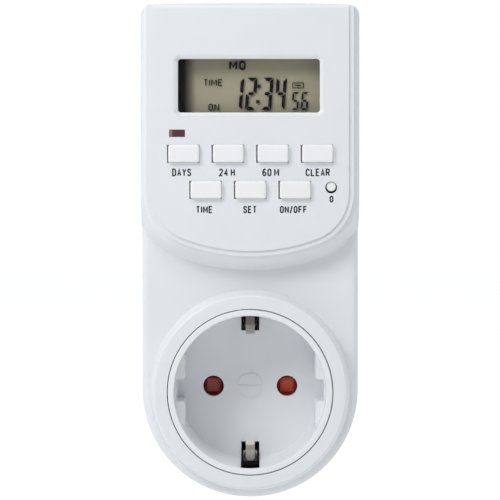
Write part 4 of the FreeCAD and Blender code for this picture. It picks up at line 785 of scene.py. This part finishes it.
def strokeFaces(mesh, points, thick, lift):
    # one band along the points, its corners mitred, lifted off the strokes it crosses
    flat = [Vector(point) for point in points]
    closed = (flat[0] - flat[-1]).length < letterForm["meets"]
    if closed:
        flat.pop()
    count = len(flat)
    pairs = []
    for here, point in enumerate(flat):
        before = flat[here - 1] if here or closed else None
        after = flat[(here + 1) % count] if here < count - 1 or closed else None
        inward = (point - before).normalized() if before is not None else (after - point).normalized()
        outward = (after - point).normalized() if after is not None else inward
        side = Vector((-(inward + outward).y, (inward + outward).x)).normalized()
        square = Vector((-inward.y, inward.x))
        reach = min(thick / 2 / max(side.dot(square), letterForm["mitre"]), thick * letterForm["corner"])
        pairs.append((mesh.verts.new((*(point + side * reach), lift)),
                      mesh.verts.new((*(point - side * reach), lift))))
    for here in range(count if closed else count - 1):
        first, second = pairs[here], pairs[(here + 1) % count]
        mesh.faces.new((first[0], first[1], second[1], second[0]))


def wordMesh(word, high, narrow, thick, apart):
    # flat letters in x and y about their middle
    work = bmesh.new()
    field = letterForm["field"]
    unit = high / field
    left = 0.0
    for letter in word:
        if letter == " ":
            left += letterForm["space"]
            continue
        strokes = letterStrokes[letter]
        for order, stroke in enumerate(strokes):
            band = [((left + x) * unit * narrow, (y - field / 2) * unit) for x, y in stroke]
            slim = letterForm["slim"] if slimStrokes.get(letter) == order else 1.0
            strokeFaces(work, band, thick * slim, order * letterForm["lift"])
        left += max(x for stroke in strokes for x, y in stroke) + apart + thick / unit / narrow
    wide = left - apart - thick / unit / narrow
    for vertex in work.verts:
        vertex.co.x -= wide * unit * narrow / 2
    mesh = bpy.data.meshes.new("word")
    work.to_mesh(mesh)
    work.free()
    return mesh


def standUp(work, mesh, across, up, front, back):
    # letters standing at that place, from the front plane back to the back plane
    letters = bmesh.new()
    letters.from_mesh(mesh)
    faces = list(letters.faces)
    made = bmesh.ops.extrude_face_region(letters, geom=faces)
    moved = {item for item in made["geom"] if isinstance(item, bmesh.types.BMVert)}
    for vertex in letters.verts:
        x, z, lift = vertex.co
        vertex.co = Vector((across + x, front - lift if vertex in moved else back, up + z))
    bmesh.ops.recalc_face_normals(letters, faces=letters.faces)
    spare = bpy.data.meshes.new("letters")
    letters.to_mesh(spare)
    letters.free()
    work.from_mesh(spare)
    bpy.data.meshes.remove(spare)


def finishPiece(name, work, finish, body):
    mesh = bpy.data.meshes.new(name)
    work.to_mesh(mesh)
    work.free()
    mesh.materials.append(finish)
    piece = bpy.data.objects.new(name, mesh)
    scene.collection.objects.link(piece)
    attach(piece, body)
    return piece


def panelPrint():
    look = panelWords
    work = bmesh.new()
    for word, across, up, row in look["words"]:
        letters = wordMesh(word, look[row], look["narrow"], look["stroke"], look["apart"])
        standUp(work, letters, across, up, look["front"] - look["ink"], look["front"] + look["sunk"])
    finishPiece("panel_print", work, cloudyFinish("panel_ink"), "casing")


panelPrint()
print("timer socket: words on the panel")


# Liquid crystal display.

display = {
    "segmentThick": 0.000012,
    "plateThick": 0.0005,        # reflector behind the glass
    "shadowGap": 0.00045,        # from the segments back to the reflector
    "inset": 0.0002, "backGap": 0.00004,
    # painted shade at the reflector's left end: where it fades out across, and its tone
    "darkEdge": (-0.0166, -0.0136), "darkTone": (14, 16, 12),
    "digitHigh": 0.0081, "digitWide": 0.00262, "digitStroke": 0.00084, "digitGap": 0.00010,
    "digitPitch": 0.00335, "digitsLeft": -0.00475, "digitsFoot": 0.0706, "slant": 0.085,
    "colonLeft": 0.00175, "colonWide": 0.00070, "colonDots": (0.25, 0.73),
    "smallHigh": 0.0045, "smallWide": 0.00178, "smallStroke": 0.00050, "smallPitch": 0.00235,
    "smallLeft": 0.0103, "smallFoot": 0.0706,
    "hours": "12", "minutes": "34", "seconds": "56",
    "words": (
        # word, across, up, height, narrowing, stroke
        ("MO", -0.00320, 0.08180, 0.0019, 0.95, 0.00052),
        ("TIME", -0.00935, 0.07745, 0.0015, 0.86, 0.00028),
        ("ON", -0.00915, 0.07125, 0.0015, 0.90, 0.00030),
    ),
    "apart": 1.3,
    # small frame by its left, low, right and high sides, with a bar set in from them
    "frame": (0.0106, 0.0760, 0.0135, 0.0775), "frameLine": 0.00022, "bar": (0.0007, 0.0006),
    "segment": (14, 16, 22), "segmentDark": (9, 10, 15), "segmentMottle": 1500, "segmentRough": 0.5,
    "reflector": (192, 180, 157), "darker": -7, "lighter": 6, "speckle": 7000, "speckleDeep": 0.000012,
    "reflectorRough": 0.55, "shine": 0.12,
}

segmentsOf = {
    "0": "abcdef", "1": "bc", "2": "abged", "3": "abgcd", "4": "fgbc", "5": "afgcd",
    "6": "afgedc", "7": "abc", "8": "abcdefg", "9": "abcdfg",
}


def plateAt(work, outline, front, back):
    near = [work.verts.new((x, front, z)) for x, z in outline]
    far = [work.verts.new((x, back, z)) for x, z in outline]
    work.faces.new(near)
    work.faces.new(reversed(far))
    for here in range(len(outline)):
        after = (here + 1) % len(outline)
        work.faces.new((near[here], far[here], far[after], near[after]))


def digitOutlines(digit, wide, high, stroke, gap):
    half = high / 2
    shapes = {
        "a": ((gap, high), (wide - gap, high), (wide - stroke - gap, high - stroke),
              (stroke + gap, high - stroke)),
        "b": ((wide, high - gap), (wide, half + gap), (wide - stroke, half + stroke / 2 + gap),
              (wide - stroke, high - stroke - gap)),
        "c": ((wide, half - gap), (wide, gap), (wide - stroke, stroke + gap),
              (wide - stroke, half - stroke / 2 - gap)),
        "d": ((gap, 0), (stroke + gap, stroke), (wide - stroke - gap, stroke), (wide - gap, 0)),
        "e": ((0, gap), (0, half - gap), (stroke, half - stroke / 2 - gap), (stroke, stroke + gap)),
        "f": ((0, half + gap), (0, high - gap), (stroke, high - stroke - gap),
              (stroke, half + stroke / 2 + gap)),
        "g": ((stroke / 2 + gap, half), (stroke + gap, half + stroke / 2),
              (wide - stroke - gap, half + stroke / 2), (wide - stroke / 2 - gap, half),
              (wide - stroke - gap, half - stroke / 2), (stroke + gap, half - stroke / 2)),
    }
    return [shapes[letter] for letter in segmentsOf[digit]]


def rectangle(left, low, right, high):
    return (left, low), (right, low), (right, high), (left, high)


def slanted(outline, left, foot):
    return [(left + x + display["slant"] * z, foot + z) for x, z in outline]


def segmentFinish(look):
    finish, tree, face = startFinish("lcd_segment", look["segment"], look["segmentRough"])
    face.inputs["Specular IOR Level"].default_value = look["shine"]
    tree.links.new(mottled(tree, look["segmentMottle"], 2, tone(*look["segmentDark"]),
                           tone(*look["segment"])), face.inputs["Base Color"])
    return finish


def reflectorFinish(look):
    # speckled, with shade painted at its left end, under the window's left wall
    finish, tree, face = startFinish("lcd_reflector", look["reflector"], look["reflectorRough"])
    face.inputs["Specular IOR Level"].default_value = look["shine"]
    speckle = cloud(tree, look["speckle"], 2)
    plain = blended(tree, ranged(tree, speckle, 0, 1), shifted(look["reflector"], look["darker"]),
                    shifted(look["reflector"], look["lighter"]))
    unshadedShare = ranged(tree, axes(tree)["X"], 0, 1, *look["darkEdge"])
    tree.links.new(blended(tree, unshadedShare, tone(*look["darkTone"]), plain), face.inputs["Base Color"])
    relief(tree, face, speckle, look["speckleDeep"])
    return finish


def displayPiece(name, work, finish):
    bmesh.ops.recalc_face_normals(work, faces=work.faces)
    return finishPiece(name, work, finish, "casing")


def segmentPiece(look, front, back):
    work = bmesh.new()

    def row(text, left, foot, wide, tall, stroke, pitch):
        for place, digit in enumerate(text):
            for outline in digitOutlines(digit, wide, tall, stroke, look["digitGap"]):
                plateAt(work, slanted(outline, left + place * pitch, foot), front, back)

    big = (look["digitWide"], look["digitHigh"], look["digitStroke"], look["digitPitch"])
    row(look["hours"], look["digitsLeft"], look["digitsFoot"], *big)
    second = look["digitsLeft"] + 2 * look["digitPitch"] + look["colonWide"]
    row(look["minutes"], second, look["digitsFoot"], *big)
    dot = look["digitStroke"] / 2
    for share in look["colonDots"]:
        centre = share * look["digitHigh"]
        plateAt(work, slanted(rectangle(-dot, centre - dot, dot, centre + dot), look["colonLeft"],
                              look["digitsFoot"]), front, back)
    row(look["seconds"], look["smallLeft"], look["smallFoot"], look["smallWide"], look["smallHigh"],
        look["smallStroke"], look["smallPitch"])
    for word, across, up, tall, narrow, thick in look["words"]:
        standUp(work, wordMesh(word, tall, narrow, thick, look["apart"]), across, up, front, back)
    left, low, right, high = look["frame"]
    line, (aside, above) = look["frameLine"], look["bar"]
    for sides in ((left, low, right, low + line), (left, high - line, right, high),
                  (left, low + line, left + line, high - line),
                  (right - line, low + line, right, high - line),
                  (left + aside, low + above, right - aside, high - above)):
        plateAt(work, rectangle(*sides), front, back)
    displayPiece("lcd_segments", work, segmentFinish(look))


def lcdPieces():
    look = display
    low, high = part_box("lcd_panel")
    layer = high.y - look["plateThick"] - look["shadowGap"]
    segmentPiece(look, layer - look["segmentThick"], layer)

    inset = look["inset"]
    work = bmesh.new()
    plateAt(work, rectangle(low.x + inset, low.z + inset, high.x - inset, high.z - inset),
            high.y - look["plateThick"], high.y - look["backGap"])
    displayPiece("lcd_reflector", work, reflectorFinish(look))

    work = bmesh.new()
    plateAt(work, rectangle(low.x, low.z, high.x, high.z), low.y, high.y)
    glass = displayPiece("lcd_glass_plates", work, finishes["lcd_glass"])
    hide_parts("lcd_panel")


lcdPieces()
print("timer socket: display")


# Layers of the display's connector strip, and solder joints behind the power board.

connectorLook = {
    "pitch": 0.0004, "layerWide": 0.00018, "proud": 0.000012,
    "coat": {"colour": (38, 38, 40), "rough": 0.6, "grain": 4000, "depth": 0.000006,
             "spread": 0.08, "drift": 5},
}

headerPins = 7
solderLook = {
    "foot": 0.00085, "tip": 0.00028, "high": 0.00065, "waist": 0.85, "seed": 7,
    "sides": 20, "rings": 6, "smallest": 0.85, "largest": 1.12,
    "coat": {"colour": (196, 197, 200), "rough": 0.26, "brush": (1, 1, 1), "fine": 2600,
             "depth": 0.000008, "drift": 10},
    "leads": (
        # node, share of its width and height where each lead stands
        ("relay", ((0.12, 0.12), (0.88, 0.12), (0.12, 0.88), (0.88, 0.88), (0.5, 0.88))),
        ("film_capacitor", ((0.08, 0.5), (0.92, 0.5))),
        ("electrolytic_capacitors", ((0.17, 0.5), (0.30, 0.5), (0.70, 0.5), (0.83, 0.5))),
        ("fuse", ((0.06, 0.5), (0.94, 0.5))),
        ("varistor", ((0.19, 0.5), (0.81, 0.5))),
        ("backup_battery", ((0.18, 0.5), (0.82, 0.5))),
        ("driver_transistor", ((0.2, 0.5), (0.5, 0.5), (0.8, 0.5))),
        ("board_header", tuple(((place + 0.5) / headerPins, 0.5) for place in range(headerPins))),
    ),
}


def startTree(name, numbers, wholes=()):
    # a node tree with those inputs after its geometry
    tree = bpy.data.node_groups.new(name, "GeometryNodeTree")
    tree.interface.new_socket(name="Geometry", in_out="INPUT", socket_type="NodeSocketGeometry")
    sockets = {}
    for labels, kind in ((numbers, "NodeSocketFloat"), (wholes, "NodeSocketInt")):
        for label in labels:
            socket = tree.interface.new_socket(name=label, in_out="INPUT", socket_type=kind)
            sockets[label] = socket.identifier
    tree.interface.new_socket(name="Geometry", in_out="OUTPUT", socket_type="NodeSocketGeometry")
    return tree, sockets, tree.nodes.new("NodeGroupInput"), tree.nodes.new("NodeGroupOutput")


def closeTree(tree, instances, finish, end):
    real = tree.nodes.new("GeometryNodeRealizeInstances")
    coat = tree.nodes.new("GeometryNodeSetMaterial")
    coat.inputs["Material"].default_value = finish
    tree.links.new(instances, real.inputs["Geometry"])
    tree.links.new(real.outputs["Geometry"], coat.inputs["Geometry"])
    tree.links.new(coat.outputs["Geometry"], end.inputs["Geometry"])


def grown(name, points, tree, sockets, values):
    # a body grown by a node tree from its points, kept as a plain mesh
    mesh = bpy.data.meshes.new(name)
    mesh.from_pydata(points, [], [])
    piece = bpy.data.objects.new(name, mesh)
    scene.collection.objects.link(piece)
    grow = piece.modifiers.new("grow", "NODES")
    grow.node_group = tree
    for label, value in values.items():
        grow[sockets[label]] = value
    settle(piece)
    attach(piece, "casing")


def layerTree(finish):
    # one thin block at each point, across the strip
    tree, sockets, start, end = startTree("connector_layers", ("Layer Wide", "Deep", "Tall"))
    size = tree.nodes.new("ShaderNodeCombineXYZ")
    block = tree.nodes.new("GeometryNodeMeshCube")
    stand = tree.nodes.new("GeometryNodeInstanceOnPoints")
    for label, axis in (("Layer Wide", "X"), ("Deep", "Y"), ("Tall", "Z")):
        tree.links.new(start.outputs[label], size.inputs[axis])
    tree.links.new(size.outputs[0], block.inputs["Size"])
    tree.links.new(start.outputs["Geometry"], stand.inputs["Points"])
    tree.links.new(block.outputs["Mesh"], stand.inputs["Instance"])
    closeTree(tree, stand.outputs["Instances"], finish, end)
    return tree, sockets


def connectorLayers():
    look = connectorLook
    low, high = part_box("lcd_connector")
    count = int((high.x - low.x) / look["pitch"])
    first = (low.x + high.x) / 2 - (count - 1) * look["pitch"] / 2
    points = [(first + place * look["pitch"], (low.y + high.y) / 2, (low.z + high.z) / 2)
              for place in range(count)]
    tree, sockets = layerTree(mouldedPlastic("connector_carbon", look["coat"]))
    grown("connector_layers", points, tree, sockets, {
        "Layer Wide": look["layerWide"], "Deep": high.y - low.y - look["proud"],
        "Tall": high.z - low.z + look["proud"]})


def solderTree(finish, look):
    # a cone with a hollow waist at each lead, no two quite alike
    tree, sockets, start, end = startTree("solder_joints", ("Foot", "Tip", "High", "Waist"), ("Seed",))
    cone = tree.nodes.new("GeometryNodeMeshCone")
    cone.inputs["Vertices"].default_value = look["sides"]
    cone.inputs["Side Segments"].default_value = look["rings"]
    for label, socket in (("Foot", "Radius Bottom"), ("Tip", "Radius Top"), ("High", "Depth")):
        tree.links.new(start.outputs[label], cone.inputs[socket])
    place = tree.nodes.new("GeometryNodeInputPosition")
    parts = tree.nodes.new("ShaderNodeSeparateXYZ")
    tree.links.new(place.outputs[0], parts.inputs[0])
    share = maths(tree, "DIVIDE", parts.outputs["Z"], start.outputs["High"])
    belly = maths(tree, "MULTIPLY", share, maths(tree, "SUBTRACT", 1.0, share))
    away = tree.nodes.new("ShaderNodeVectorMath")
    away.operation = "MULTIPLY"
    away.inputs[1].default_value = (-1, -1, 0)
    tree.links.new(place.outputs[0], away.inputs[0])
    inward = tree.nodes.new("ShaderNodeVectorMath")
    inward.operation = "SCALE"
    tree.links.new(away.outputs[0], inward.inputs[0])
    tree.links.new(maths(tree, "MULTIPLY", belly, start.outputs["Waist"]), inward.inputs["Scale"])
    shape = tree.nodes.new("GeometryNodeSetPosition")
    tree.links.new(cone.outputs["Mesh"], shape.inputs["Geometry"])
    tree.links.new(inward.outputs[0], shape.inputs["Offset"])
    smooth = tree.nodes.new("GeometryNodeSetShadeSmooth")
    tree.links.new(shape.outputs["Geometry"], smooth.inputs["Geometry"])
    vary = tree.nodes.new("FunctionNodeRandomValue")
    vary.inputs[2].default_value = look["smallest"]
    vary.inputs[3].default_value = look["largest"]
    tree.links.new(start.outputs["Seed"], vary.inputs["Seed"])
    stand = tree.nodes.new("GeometryNodeInstanceOnPoints")
    stand.inputs["Rotation"].default_value = (math.radians(-90), 0, 0)
    tree.links.new(start.outputs["Geometry"], stand.inputs["Points"])
    tree.links.new(smooth.outputs["Geometry"], stand.inputs["Instance"])
    tree.links.new(vary.outputs[1], stand.inputs["Scale"])
    closeTree(tree, stand.outputs["Instances"], finish, end)
    return tree, sockets


def solderJoints():
    look = solderLook
    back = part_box("power_board")[1].y
    points = []
    for name, places in look["leads"]:
        low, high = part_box(name)
        for across, up in places:
            points.append((low.x + across * (high.x - low.x), back, low.z + up * (high.z - low.z)))
    tree, sockets = solderTree(platedMetal("solder_tin", look["coat"]), look)
    grown("solder_joints", points, tree, sockets, {
        "Foot": look["foot"], "Tip": look["tip"], "High": look["high"], "Waist": look["waist"],
        "Seed": look["seed"]})


connectorLayers()
solderJoints()
print("timer socket: connector layers and solder joints")


bpy.context.view_layer.update()
